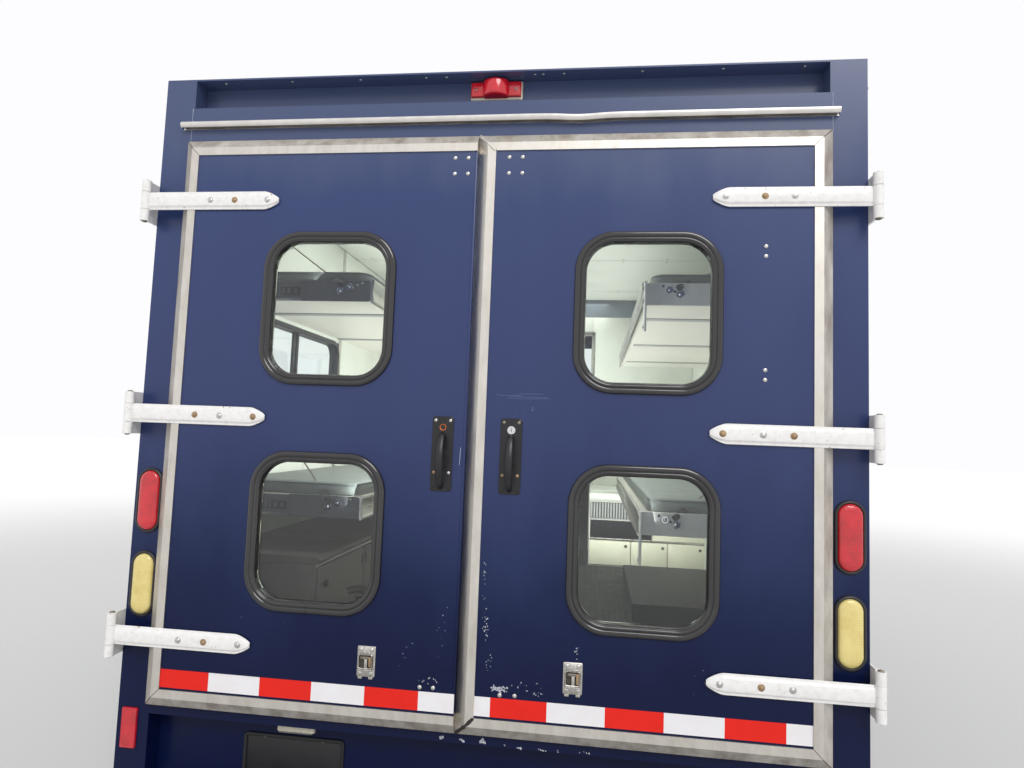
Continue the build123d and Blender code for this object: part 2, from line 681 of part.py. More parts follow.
# Front axle: dropped beam with a boss at each end for the kingpin
kingpin_x, boss_radius, boss_half = 780, 34, 45
kingpin_radius = 14
beam_half, beam_web, beam_height = 35, 14, 72
with BuildPart() as front_axle:
    beam_top = front_seat
    with BuildSketch(side_plane_at(-kingpin_x)):
        with Locations((front_axle_y, beam_top - beam_height / 2)):
            Rectangle(2 * beam_half, beam_height)
            for s in (-1, 1):
                with Locations((s * (beam_half / 2 + beam_web / 2), 0)):
                    Rectangle(beam_half - beam_web, beam_height - 2 * beam_web, mode=Mode.SUBTRACT)
    extrude(amount=2 * kingpin_x)
    for name, s in sides:
        with Locations((s * kingpin_x, front_axle_y, tyre_radius)):
            Cylinder(boss_radius, 2 * boss_half)
            Cylinder(kingpin_radius + fit, 4 * boss_half, mode=Mode.SUBTRACT)
save(front_axle, "front_axle")

# Steering knuckles: a fork on the kingpin, the spindle, the brake's back plate and the arm
fork_thickness, fork_radius = 20, 32
spindle_radius = 24
spindle_end = front_track_half + 90
backing_radius, backing_x, backing_thickness = 165, 822, 6
arm_length, arm_width, arm_thickness = 170, 26, 16
arm_z = tyre_radius - boss_half - fit - fork_thickness + arm_thickness / 2
tie_pin_radius = 8
for name, side in sides:
    with BuildPart() as knuckle:
        fork_low = tyre_radius - boss_half - fit
        fork_high = tyre_radius + boss_half + fit
        with Locations((side * kingpin_x, front_axle_y, tyre_radius)):
            Cylinder(kingpin_radius, fork_high - fork_low + 2 * fork_thickness)
        for z in (fork_low - fork_thickness / 2, fork_high + fork_thickness / 2):
            with Locations((side * kingpin_x, front_axle_y, z)):
                Cylinder(fork_radius, fork_thickness)
            block((side * kingpin_x, side * backing_x),
                  (front_axle_y - fork_radius, front_axle_y + fork_radius),
                  (z - fork_thickness / 2, z + fork_thickness / 2))
        with Locations((side * (backing_x + backing_thickness / 2), front_axle_y, tyre_radius)):
            Cylinder(backing_radius, backing_thickness, rotation=(0, 90, 0))
        spindle_x = (side * backing_x, side * spindle_end)
        with Locations((sum(spindle_x) / 2, front_axle_y, tyre_radius)):
            Cylinder(spindle_radius, abs(spindle_x[1] - spindle_x[0]), rotation=(0, 90, 0))
        block((side * kingpin_x - arm_width / 2, side * kingpin_x + arm_width / 2),
              (front_axle_y - arm_length, front_axle_y),
              (arm_z - arm_thickness / 2, arm_z + arm_thickness / 2))
        with Locations((side * kingpin_x, front_axle_y - arm_length, arm_z)):
            Cylinder(arm_width / 2, arm_thickness)
        with Locations((side * kingpin_x, front_axle_y - arm_length, arm_z - arm_thickness)):
            Cylinder(tie_pin_radius, 2 * arm_thickness)
    save(knuckle, f"knuckle_{name}")

# Tie rod under the arms, with an eye round each pin
tie_radius, tie_eye_radius, tie_eye_height, tie_drop = 11, 18, 18, 7
with BuildPart() as tie_rod:
    tie_y = front_axle_y - arm_length
    tie_z = arm_z - arm_thickness / 2 - tie_drop - tie_eye_height / 2
    with Locations((0, tie_y, tie_z)):
        Cylinder(tie_radius, 2 * kingpin_x - 2 * tie_eye_radius + 8, rotation=(0, 90, 0))
    for name, s in sides:
        with Locations((s * kingpin_x, tie_y, tie_z)):
            Cylinder(tie_eye_radius, tie_eye_height)
            Cylinder(tie_pin_radius + fit, 2 * tie_eye_height, mode=Mode.SUBTRACT)
save(tie_rod, "tie_rod")

# Rear axle: banjo housing, tubes, spring seats and the driveshaft to the engine
tube_radius, tube_end, banjo_radius, banjo_half = 50, 552, 150, 95
rear_spindle_radius, rear_spindle_end = 34, 930
shaft_radius, shaft_front, shaft_front_z = 38, 1420, 560
with BuildPart() as rear_axle:
    with Locations((0, rear_axle_y, tyre_radius)):
        Cylinder(tube_radius, 2 * tube_end, rotation=(0, 90, 0))
        Cylinder(rear_spindle_radius, 2 * rear_spindle_end, rotation=(0, 90, 0))
        Cylinder(banjo_radius, 2 * banjo_half, rotation=(0, 90, 0))
    with Locations((0, rear_axle_y + banjo_radius, tyre_radius)):
        Cylinder(shaft_radius + 22, 90, rotation=(90, 0, 0))
    for name, s in sides:
        block((s * rear_spring_x - 42, s * rear_spring_x + 42), (rear_axle_y - 60, rear_axle_y + 60),
              (tyre_radius + 20, rear_seat))
    shaft_start = (0, rear_axle_y + banjo_radius, tyre_radius)
    with BuildLine():
        shaft_line = Line(shaft_start, (0, shaft_front, shaft_front_z))
    with BuildSketch(Plane(origin=shaft_start, z_dir=shaft_line % 0)):
        Circle(shaft_radius)
    sweep(path=shaft_line)
save(rear_axle, "rear_axle")

# Engine, one block at its real place, under the cover in the cab, and the radiator on the rails
engine_half, engine_y, engine_z = 255, (1560, 2250), (500, 1050)
gearbox_radius = 110
radiator_depth, radiator_gap, radiator_top = 26, 8, 1140
radiator_front = nose_front - wall - radiator_gap
with BuildPart() as engine_block:
    block((-engine_half, engine_half), engine_y, engine_z)
    gearbox_y = (shaft_front + 3, engine_y[0])
    with Locations((0, sum(gearbox_y) / 2, shaft_front_z)):
        Cylinder(gearbox_radius, gearbox_y[1] - gearbox_y[0], rotation=(90, 0, 0))
    for name, s in sides:
        block((s * engine_half, s * (rail_outer - rail_web)), (1900, 1990),
              (rail_top - 70, rail_top - rail_web))
    block((-rail_outer, rail_outer), (radiator_front - radiator_depth, radiator_front),
          (rail_top, radiator_top))
save(engine_block, "engine_block")

# Fuel tank on the left, hung under the floor
tank_x, tank_y, tank_depth = (88 - half_width, -470), (-560, 60), 235
with BuildPart() as fuel_tank:
    block(tank_x, tank_y, (floor_under - tank_depth, floor_under))
    fillet(fuel_tank.edges().filter_by(Axis.Y), 35)
save(fuel_tank, "fuel_tank")

# Exhaust: silencer on the right and a pipe that leaves ahead of the rear wheels
silencer_x, silencer_y, silencer_z, silencer_radius = 640, (-120, 420), 560, 95
pipe_radius, pipe_low, pipe_x, tail_x = 26, 470, 290, half_width - 33
exhaust_routes = (
    ((pipe_x, 1600, 560), (pipe_x, 1500, pipe_low), (pipe_x, 800, pipe_low),
     (silencer_x, 600, pipe_low + 60), (silencer_x, silencer_y[1], silencer_z)),
    ((silencer_x, silencer_y[0], silencer_z), (silencer_x, -560, silencer_z - 40),
     (tail_x, -640, silencer_z - 115)),
)
with BuildPart() as exhaust:
    with Locations((silencer_x, sum(silencer_y) / 2, silencer_z)):
        Cylinder(silencer_radius, silencer_y[1] - silencer_y[0], rotation=(90, 0, 0))
    for route in exhaust_routes:
        with BuildLine():
            pipe_line = FilletPolyline(*route, radius=70)
        with BuildSketch(Plane(origin=pipe_line @ 0, z_dir=pipe_line % 0)):
            Circle(pipe_radius)
        sweep(path=pipe_line)
    for y in silencer_y:
        hanger_y = y + (40 if y < 0 else -40)
        block((silencer_x - 15, silencer_x + 15), (hanger_y - 4, hanger_y + 4),
              (silencer_z + silencer_radius - 10, floor_under))
save(exhaust, "exhaust")

# Floor with its wheel boxes, the hole under the engine cover and the entrance steps
box_wall = 8
# Columns: axle Y, half length inside, inner X, top inside
wheel_boxes = ((rear_axle_y, arch_rear, 513, 812), (front_axle_y, arch_front + 2, 558, 842))
step_inner, pocket_inner = 790, half_width - 88
floor_half = half_width - wall
cover_half, cover_wall, cover_y, cover_top = 300, 15, (1400, 2280), 1110
box_rows = [(s, y, half, inner, top) for n, s in sides for y, half, inner, top in wheel_boxes]

with BuildPart() as floor_slab:
    block((-floor_half, floor_half), (wall_rear, cowl_y), (floor_under, floor_top))
    for s, axle_y, half, inner, top in box_rows:
        block((s * (inner - box_wall), s * floor_half),
              (axle_y - half - box_wall, axle_y + half + box_wall), (floor_under, floor_top), Mode.SUBTRACT)
    block((-cover_half, cover_half), (cover_y[0] + cover_wall, cowl_y), (floor_under, floor_top),
          Mode.SUBTRACT)
    for name, s in sides:
        block((s * pocket_inner, s * floor_half), runner_y, (floor_under, floor_top), Mode.SUBTRACT)
        block((s * (step_inner - box_wall), s * floor_half),
              (cab_door_rear - box_wall, cab_door_front + box_wall), (floor_under, floor_top),
              Mode.SUBTRACT)

with BuildPart() as wheel_housings:
    for s, axle_y, half, inner, top in box_rows:
        block((s * (inner - box_wall), s * floor_half),
              (axle_y - half - box_wall, axle_y + half + box_wall), (floor_under, top + box_wall))
        block((s * inner, s * floor_half), (axle_y - half, axle_y + half), (floor_under - 1, top),
              Mode.SUBTRACT)

with BuildPart() as steps:
    for name, s in sides:
        step_z = (cab_door_bottom - 20, cab_door_bottom - 20 + box_wall)
        block((s * step_inner, s * floor_half),
              (cab_door_rear - box_wall, cab_door_front + box_wall), step_z)
        block((s * step_inner, s * (step_inner - box_wall)),
              (cab_door_rear - box_wall, cab_door_front + box_wall), (step_z[0], floor_top))
        for y in ((cab_door_rear - box_wall, cab_door_rear), (cab_door_front, cab_door_front + box_wall)):
            block((s * step_inner, s * pocket_inner), y, (step_z[0], floor_top))
save_touching((floor_slab, wheel_housings, steps), "floor")

# Bulkhead between cab and load space, with its doorway
bulkhead_y, doorway_half, doorway_top = (100, 140), 300, roof_join - 250
with BuildPart() as bulkhead:
    with BuildSketch(rear_plane_at(bulkhead_y[0])):
        with Locations((0, (floor_top + roof_top - wall) / 2)):
            Rectangle(2 * floor_half, roof_top - wall - floor_top)
        with Locations((0, (floor_top + doorway_top) / 2)):
            Rectangle(2 * doorway_half, doorway_top - floor_top, mode=Mode.SUBTRACT)
    extrude(amount=-(bulkhead_y[1] - bulkhead_y[0]))
save(bulkhead, "bulkhead")

# Fittings of the load space: two litter racks on each side wall, a low cabinet on the left and
# one beside the doorway. Columns: X from the centre, Y, Z
rack_face, rack_thickness, rack_heights = 480, 70, (1210, 1975)
rack_y = (-2380, -420)
cabinet_face, cabinet_top, front_cabinet_top = 600, 1060, 1180
cabinet_rows = (
    ((-floor_half, -cabinet_face), (-2450, -700), (floor_top, cabinet_top)),
    ((doorway_half + 10, floor_half), (rack_y[1] - 60, bulkhead_y[0]), (floor_top, front_cabinet_top)),
)
with BuildPart() as cabinets:
    for x, y, z in cabinet_rows:
        block(x, y, z)
    for name, s in sides:
        for rack_z in rack_heights:
            block((s * rack_face, s * floor_half), rack_y, (rack_z, rack_z + rack_thickness))
    axle_y, half, inner, top = wheel_boxes[0]
    for name, s in sides:
        block((s * (inner - box_wall), s * floor_half),
              (axle_y - half - box_wall, axle_y + half + box_wall), (floor_top, top + box_wall),
              Mode.SUBTRACT)
save(cabinets, "cabinets")

# Seats and steering wheel stand in line; the column goes into the dashboard
seat_x = 550
dash_y, dash_z = (2060, 2270), (1150, 1415)
rim_radius, rim_tube, spoke_radius, column_radius = 205, 13, 9, 22
wheel_centre = (-seat_x, 1790, 1400)
column_foot = (-seat_x, dash_y[0] + 30, 1262)
column_run = [b - a for a, b in zip(wheel_centre, column_foot)]
column_plane = Plane(origin=wheel_centre, x_dir=(1, 0, 0), z_dir=column_run)

# Dashboard and engine cover
with BuildPart() as dashboard:
    with BuildSketch(side_plane_at(-floor_half)):
        with BuildLine():
            Polyline(
                (dash_y[1], dash_z[1]),
                (dash_y[1], dash_z[0]),
                (dash_y[0] + 60, dash_z[0]),
                (dash_y[0], dash_z[0] + 90),
                (dash_y[0] + 50, dash_z[1]),
                close=True,
            )
        make_face()
    extrude(amount=2 * floor_half)
    block((-cover_half - cover_wall, cover_half + cover_wall), cover_y, (floor_top, dash_z[0]))
    block((-cover_half, cover_half), (cover_y[0] + cover_wall, cover_y[1]), (floor_top, cover_top),
          Mode.SUBTRACT)
    with BuildSketch(column_plane):
        Circle(column_radius + fit)
    extrude(amount=hypot(*column_run) + fit, mode=Mode.SUBTRACT)
save(dashboard, "dashboard")

# Steering wheel on its column
with BuildPart() as steering_wheel:
    with Locations(column_plane):
        Torus(rim_radius, rim_tube)
        for turn in (0, 120, 240):
            with Locations(Location((0, 0, 0), (0, 0, turn + 30))):
                with Locations((rim_radius / 2, 0, 0)):
                    Cylinder(spoke_radius, rim_radius, rotation=(0, 90, 0))
        Cylinder(42, 40)
    with BuildSketch(column_plane):
        Circle(column_radius)
    extrude(amount=hypot(*column_run))
save(steering_wheel, "steering_wheel")

# Seats: pedestal, cushion and back
seat_half, seat_y, seat_top = 230, (1130, 1590), 1190
seat_thickness, back_thickness, back_top, back_lean = 110, 100, 1830, 90
with BuildPart() as seats:
    for name, s in sides:
        x = (s * seat_x - seat_half, s * seat_x + seat_half)
        middle = sum(seat_y) / 2
        block((s * seat_x - 140, s * seat_x + 140), (middle - 160, middle + 160),
              (floor_top, seat_top - seat_thickness))
        block(x, seat_y, (seat_top - seat_thickness, seat_top))
        with BuildSketch(side_plane_at(x[0])):
            with BuildLine():
                Polyline(
                    (seat_y[0], seat_top - seat_thickness),
                    (seat_y[0] + back_thickness, seat_top - seat_thickness),
                    (seat_y[0] + back_thickness - back_lean, back_top),
                    (seat_y[0] - back_lean, back_top),
                    close=True,
                )
            make_face()
        extrude(amount=2 * seat_half)
save(seats, "seats")

# Bumpers: a channel in front and a step behind, on brackets under the rails
bumper_half, front_bumper_y, front_bumper_z = half_width - 8, (rail_y[1], 3000), (450, rail_top)
step_half, step_y, step_z, step_wall = half_width - 43, (-3000, -2790), (400, 470), 8
bracket_front = rail_y[0] + 180
hitch_hole = 13
with BuildPart() as front_bumper:
    with BuildSketch(Plane.XY.offset(front_bumper_z[0])):
        with BuildLine():
            Polyline(
                (-bumper_half, front_bumper_y[0] - 60),
                (-bumper_half + 60, front_bumper_y[1]),
                (bumper_half - 60, front_bumper_y[1]),
                (bumper_half, front_bumper_y[0] - 60),
                (bumper_half - 15, front_bumper_y[0] - 60),
                (bumper_half - 80, front_bumper_y[0]),
                (-bumper_half + 80, front_bumper_y[0]),
                (-bumper_half + 15, front_bumper_y[0] - 60),
                close=True,
            )
        make_face()
    extrude(amount=front_bumper_z[1] - front_bumper_z[0])
    block((-bumper_half, bumper_half), (front_bumper_y[0] - 60, front_bumper_y[1] - 12),
          (front_bumper_z[0] + 12, front_bumper_z[1] - rail_height - 12), Mode.SUBTRACT)
save(front_bumper, "front_bumper")

with BuildPart() as rear_bumper:
    block((-step_half, step_half), step_y, step_z)
    block((-step_half + step_wall, step_half - step_wall), (step_y[0] + step_wall, step_y[1] - step_wall),
          (step_z[0], step_z[1] - step_wall), Mode.SUBTRACT)
    for name, s in sides:
        x = (s * (rail_outer - rail_width), s * rail_outer)
        block(x, (step_y[0] + step_wall, bracket_front), (step_z[0], step_z[1] - step_wall))
        block(x, (rail_y[0], bracket_front), (step_z[0], rail_bottom))
    with Locations((0, sum(step_y) / 2, step_z[1] - step_wall / 2)):
        Cylinder(hitch_hole, 2 * step_wall, mode=Mode.SUBTRACT)
save(rear_bumper, "rear_bumper")

# Mirrors on two arms each
mirror_x, mirror_y, mirror_z, mirror_size = half_width + 147, 2010, 1760, (180, 50, 360)
mirror_arm, mirror_arm_spread, mirror_lap = 10, 110, 50
with BuildPart() as mirrors:
    for name, s in sides:
        with Locations((s * mirror_x, mirror_y, mirror_z)):
            Box(*mirror_size)
        for arm_z in (mirror_z - mirror_arm_spread, mirror_z + mirror_arm_spread):
            block((s * half_width, s * (mirror_x - mirror_lap)),
                  (mirror_y - mirror_arm, mirror_y + mirror_arm), (arm_z - mirror_arm, arm_z + mirror_arm))
    fillet(mirrors.edges().filter_by(Axis.Y), 8)
save(mirrors, "mirrors")

# Light bar across the roof over the cab
bar_half_width, light_bar_y, light_bar_height, bar_foot = 610, (1640, 1890), 120, 20
foot_x, foot_half = 400, 40
with BuildPart() as light_bar:
    block((-bar_half_width, bar_half_width), light_bar_y,
          (roof_top + bar_foot, roof_top + light_bar_height))
    fillet(light_bar.edges().filter_by(Axis.Z), 60)
    for name, s in sides:
        block((s * foot_x - foot_half, s * foot_x + foot_half), (light_bar_y[0] + 40, light_bar_y[1] - 40),
              (roof_top, roof_top + bar_foot))
save(light_bar, "light_bar")

# Wheels. Columns: name, side, axle Y, X of each tyre, radius of the spindle, drum
bead_radius, rim_width, disc_thickness = 208, 170, 12
wheel_offset = (dual_outer - dual_inner) / 2    # hub face from the rim's middle: twin discs meet
hand_holes, hand_hole_radius, hand_hole_circle = 8, 20, 146
hub_radius, drum_radius = 60, 160
tyre_flats, tyre_half, tyre_waist = 40, tyre_width / 2, (bead_radius + tyre_radius) / 2 + 8
tyre_section = (
    (-rim_width / 2, bead_radius),
    (-tyre_half, tyre_waist),
    (-tyre_half + 6, tyre_radius - 32),
    (-tyre_half + 28, tyre_radius - 6),
    (0, tyre_radius),
    (tyre_half - 28, tyre_radius - 6),
    (tyre_half - 6, tyre_radius - 32),
    (tyre_half, tyre_waist),
    (rim_width / 2, bead_radius),
)
front_drum = (backing_x + backing_thickness + 2, 925, 1032)     # drum's start and end, hub's end
rear_drum = (tube_end + 3, 675, 950)
wheel_rows = (
    ("wheel_front_left", -1, front_axle_y, (front_track_half,), spindle_radius, front_drum),
    ("wheel_front_right", 1, front_axle_y, (front_track_half,), spindle_radius, front_drum),
    ("wheel_rear_left", -1, rear_axle_y, (dual_outer, dual_inner), rear_spindle_radius, rear_drum),
    ("wheel_rear_right", 1, rear_axle_y, (dual_outer, dual_inner), rear_spindle_radius, rear_drum),
)



def faceted_ring(centre, section, flats):
    """Ring of flat faces about a line along X. Each point of the section is (X, radius) and
    becomes a polygon whose flats lie at that radius, one of them lowest."""
    step = 2 * pi / flats
    corner = 1 / cos(step / 2)
    rings = [
        [(centre[0] + x, centre[1] + corner * r * sin(turn), centre[2] - corner * r * cos(turn))
         for x, r in section]
        for turn in [(k + 0.5) * step for k in range(flats)]
    ]
    faces = []
    for near, far in zip(rings, rings[1:] + rings[:1]):
        for i in range(len(section)):
            j = (i + 1) % len(section)
            faces.append(Face(Wire.make_polygon([near[i], near[j], far[j], far[i]])))
    return Solid(Shell(faces))


for name, side, axle_y, places, axle_radius, drum in wheel_rows:
    axle_line = Axis((0, axle_y, tyre_radius), (1, 0, 0))

    with BuildPart() as tyres:
        for place in places:
            add(faceted_ring((side * place, axle_y, tyre_radius), tyre_section, tyre_flats))
    save(tyres, f"{name}_tyre")

    with BuildPart() as rim:
        for place in places:
            flip = -side if place == dual_outer else side
            with BuildSketch(Plane(origin=(side * place, axle_y, tyre_radius), x_dir=(flip, 0, 0),
                                   z_dir=(0, -flip, 0))):
                with BuildLine():
                    barrel = bead_radius - fit
                    disc_root = 50
                    Polyline(
                        (-rim_width / 2, barrel),
                        (rim_width / 2, barrel),
                        (rim_width / 2, barrel - 14),
                        (disc_root + disc_thickness, barrel - 20),
                        (wheel_offset - 30, hand_hole_circle),
                        (wheel_offset, hub_radius + 48),
                        (wheel_offset, axle_radius + fit),
                        (wheel_offset - disc_thickness, axle_radius + fit),
                        (wheel_offset - disc_thickness, hub_radius + 44),
                        (wheel_offset - 30 - disc_thickness, hand_hole_circle - 4),
                        (disc_root, barrel - 20),
                        (-rim_width / 2, barrel - 14),
                        close=True,
                    )
                make_face()
            revolve(axis=axle_line)
            with BuildSketch(side_plane_at(side * place)):
                with Locations((axle_y, tyre_radius)):
                    with PolarLocations(hand_hole_circle, hand_holes):
                        Circle(hand_hole_radius)
            extrude(amount=wheel_offset, both=True, mode=Mode.SUBTRACT)
        drum_start, drum_end, hub_end = drum
        for start, end, radius in ((drum_start, drum_end, drum_radius), (drum_end, hub_end, hub_radius)):
            with Locations((side * (start + end) / 2, axle_y, tyre_radius)):
                Cylinder(radius, end - start, rotation=(0, 90, 0))
        with Locations((side * (drum_start + hub_end) / 2, axle_y, tyre_radius)):
            Cylinder(axle_radius + fit, hub_end - drum_start, rotation=(0, 90, 0), mode=Mode.SUBTRACT)
    save(rim, f"{name}_rim")
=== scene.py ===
"""Finish of the ambulance: materials, lights, camera and the small pieces that the CAD leaves out.

Lengths in the tables are millimetres, in the frame of the CAD: X right seen from behind, Y forwards, Z up.
"""

import json
import math

import bpy
import numpy as np
from mathutils import Matrix


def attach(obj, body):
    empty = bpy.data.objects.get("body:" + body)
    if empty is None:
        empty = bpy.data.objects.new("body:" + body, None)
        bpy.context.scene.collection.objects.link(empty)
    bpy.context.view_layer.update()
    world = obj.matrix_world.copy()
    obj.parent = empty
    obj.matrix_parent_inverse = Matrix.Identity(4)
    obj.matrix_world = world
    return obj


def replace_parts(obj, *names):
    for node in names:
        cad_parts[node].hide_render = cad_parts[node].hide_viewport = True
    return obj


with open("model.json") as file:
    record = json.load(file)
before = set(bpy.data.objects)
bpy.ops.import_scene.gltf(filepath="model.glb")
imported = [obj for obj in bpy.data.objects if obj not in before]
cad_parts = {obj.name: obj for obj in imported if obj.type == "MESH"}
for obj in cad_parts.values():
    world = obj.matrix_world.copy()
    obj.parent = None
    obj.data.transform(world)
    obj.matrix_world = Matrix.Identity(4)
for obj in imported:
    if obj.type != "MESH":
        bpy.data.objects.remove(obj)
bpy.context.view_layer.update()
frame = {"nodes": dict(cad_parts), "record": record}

MM = 0.001

# The camera as fitted to the photo's straight edges.
IMAGE_WIDTH = 1024
FOCAL_PIXELS = 658.9
CAMERA_TILT = math.radians(-4.38)
CAMERA_PAN = math.radians(7.15)
CAMERA_ROLL = math.radians(2.15)
CAMERA_PLACE = (0.31825, -4.6206, 1.5199)
SENSOR_WIDTH = 36.0


# Shader tools

def linear(code):
    """The linear colour of an sRGB hex code: ((c + 0.055)
    / 1.055) ** 2.4 above the toe, c / 12.92 in it."""
    out = []
    for place in (1, 3, 5):
        c = int(code[place:place + 2], 16) / 255
        out.append(c / 12.92 if c <= 0.04045 else ((c + 0.055) / 1.055) ** 2.4)
    return (*out, 1.0)


def add(tree, kind, *values, stops=(), **named):
    """Adds a shader node of that kind and gives its first output. The values go to its sockets in order,
    each a number, a colour or another node's output. A name with a capital is a socket too, and any other
    is one of the node's settings. Stops are those of a colour ramp, as (place, colour)."""
    made = tree.nodes.new("ShaderNode" + kind)
    for key, value in named.items():
        if key[0].islower():
            setattr(made, key, value)
    pairs = list(zip([socket for socket in made.inputs if socket.enabled], values))
    pairs += [(made.inputs[key.replace("_", " ")], value) for key, value in named.items() if key[0].isupper()]
    for socket, value in pairs:
        if isinstance(value, bpy.types.NodeSocket):
            tree.links.new(value, socket)
        else:
            socket.default_value = value
    if stops:
        points = made.color_ramp.elements
        while len(points) < len(stops):
            points.new(0.5)
        for point, (place, colour) in zip(points, stops):
            point.position = place
            point.color = linear(colour) if isinstance(colour, str) else colour
    shown = [socket for socket in made.outputs if socket.enabled]
    return shown[0] if shown else None


def own_place(tree):
    """The place in the piece's own metres, which stays on the piece when it turns."""
    return add(tree, "TexCoord").node.outputs["Object"]


def axes(tree):
    """The piece's own X, Y and Z in metres."""
    parts = add(tree, "SeparateXYZ", own_place(tree)).node.outputs
    return [parts[name] for name in "XYZ"]


def mottle(tree, per_metre, detail=3.0, roughness=0.55, stretch=(1, 1, 1), offset=(0, 0, 0)):
    """Clouds that stay in the piece's own place, so many
    to a metre, drawn out along the axes by stretch."""
    place = add(tree, "Mapping", own_place(tree), Scale=stretch, Location=offset)
    return add(tree, "TexNoise", place, per_metre, detail, roughness)


def finish_of(name, colour, roughness, **sockets):
    """A material with those numbers on its shader; gives (material, tree, shader)."""
    made = bpy.data.materials.new(name)
    made.use_nodes = True
    tree = made.node_tree
    shader = tree.nodes["Principled BSDF"]
    shader.inputs["Base Color"].default_value = linear(colour)
    shader.inputs["Roughness"].default_value = roughness
    for socket, value in sockets.items():
        shader.inputs[socket.replace("_", " ")].default_value = value
    return made, tree, shader


def drive(tree, shader, **sockets):
    """Links outputs into the shader's sockets."""
    for socket, value in sockets.items():
        tree.links.new(value, shader.inputs[socket.replace("_", " ")])


# Materials

def navy_enamel():
    """Navy enamel sprayed on sheet: the clear top gives a hazy gloss with a faint orange peel, years of wiping
    leave clouds in it, its colour is painted lighter towards the roof and darker low down as painted light from
    above and painted shade below, and road grime takes its gloss low down."""
    made, tree, shader = finish_of("navy enamel, sprayed", "#1d2a60", 0.3, Coat_Weight=0.12,
                                   Coat_Roughness=0.16)
    clouds = add(tree, "Math", mottle(tree, 2.2, 4.0, 0.6, (1.0, 1.0, 0.55)), 0.8, operation="MULTIPLY")
    wipes = mottle(tree, 9.0, 3.0, 0.5, (1.0, 1.0, 0.12), (3, 1, 2))
    mixed = add(tree, "Math", wipes, 0.2, clouds, operation="MULTIPLY_ADD")
    # Painted light: the colour grows lighter with height and darker low down, as light from above would leave
    # it.
    level = add(tree, "Math", axes(tree)[2], 2.6, operation="DIVIDE")
    uneven = add(tree, "Math", mixed, 0.5, operation="SUBTRACT")
    height = add(tree, "Math", uneven, 0.28, level, operation="MULTIPLY_ADD")
    colour = add(tree, "ValToRGB", height, stops=(
        (0.33, "#07133a"), (0.4, "#0a1a44"), (0.48, "#142652"), (0.58, "#213060"), (0.7, "#263566"),
        (0.84, "#293b6c"), (0.92, "#435074")))
    rough = add(tree, "MapRange", mixed, 0.3, 0.7, 0.26, 0.42, interpolation_type="SMOOTHSTEP")
    shine = add(tree, "MapRange", height, 0.3, 0.66, 0.14, 0.46, interpolation_type="SMOOTHSTEP")
    peel = add(tree, "Bump", Height=mottle(tree, 160.0, 2.0, 0.5), Distance=0.06 * MM)
    drive(tree, shader, Base_Color=colour, Roughness=rough, Specular_IOR_Level=shine, Normal=peel)
    return made


def satin_aluminium():
    """Extruded aluminium left bare: fine draw lines along its length, and an outer bevel coloured darker than
    the inner flange, partly as grey oxide and partly as painted shade for the dark floor and surroundings that
    the outward-facing bevel reflects."""
    made, tree, shader = finish_of("aluminium, extruded and weathered", "#b9b4aa", 0.42, Metallic=1.0)
    x, _, z = axes(tree)
    from_side = add(tree, "Math", 0.945, add(tree, "Math", x, operation="ABSOLUTE"), operation="SUBTRACT")
    from_top = add(tree, "Math", 2.383, z, operation="SUBTRACT")
    from_foot = add(tree, "Math", z, 0.704, operation="SUBTRACT")
    inside = add(tree, "Math", from_side, from_top, operation="MINIMUM")
    inside = add(tree, "Math", inside, from_foot, operation="MINIMUM")
    flange = add(tree, "MapRange", inside, 0.0285, 0.0305, interpolation_type="SMOOTHSTEP")
    metal = add(tree, "MapRange", inside, 0.0285, 0.0305, 0.3, 1.0, interpolation_type="SMOOTHSTEP")
    dirt = mottle(tree, 22.0, 5.0, 0.62, (1, 1, 0.35))
    # Bevel darker, flange lighter: partly oxide, and partly a painted reflection of what each facet faces, the
    # dark floor below and the bright light in front.
    bevel = add(tree, "ValToRGB", dirt, stops=((0.34, "#988f86"), (0.5, "#b5afa6"), (0.66, "#cac5bd")))
    flange_colour = add(tree, "ValToRGB", dirt, stops=((0.3, "#c6c0b7"), (0.7, "#dedad2")))
    rough = add(tree, "MapRange", dirt, 0.3, 0.7, 0.5, 0.34, interpolation_type="SMOOTHSTEP")
    lines = add(tree, "Bump", Height=mottle(tree, 300.0, 2.0, 0.5, (1, 1, 0.05)), Distance=0.03 * MM)
    drive(tree, shader, Base_Color=add(tree, "Mix", flange, bevel, flange_colour, data_type="RGBA"), Roughness=rough,
          Metallic=metal, Normal=lines)
    return made


def strap_paint():
    """White paint brushed on galvanised steel: chalky with soft gloss,
    worn to grey at the edges, with rust bleeding in small spots."""
    made, tree, shader = finish_of("white paint on galvanised steel", "#eceae7", 0.38, Coat_Weight=0.25)
    worn = mottle(tree, 60.0, 4.0, 0.6)
    colour = add(tree, "ValToRGB", worn, stops=((0.2, "#d8d4cf"), (0.36, "#ebe9e6"), (0.6, "#f3f2f0")))
    spots = mottle(tree, 95.0, 3.0, 0.6, offset=(2, 9, 4))
    rust = add(tree, "MapRange", spots, 0.68, 0.74, interpolation_type="SMOOTHSTEP")
    drive(tree, shader, Base_Color=add(tree, "Mix", rust, colour, linear("#a5673a"), data_type="RGBA"),
          Normal=add(tree, "Bump", Height=worn, Distance=0.12 * MM))
    return made


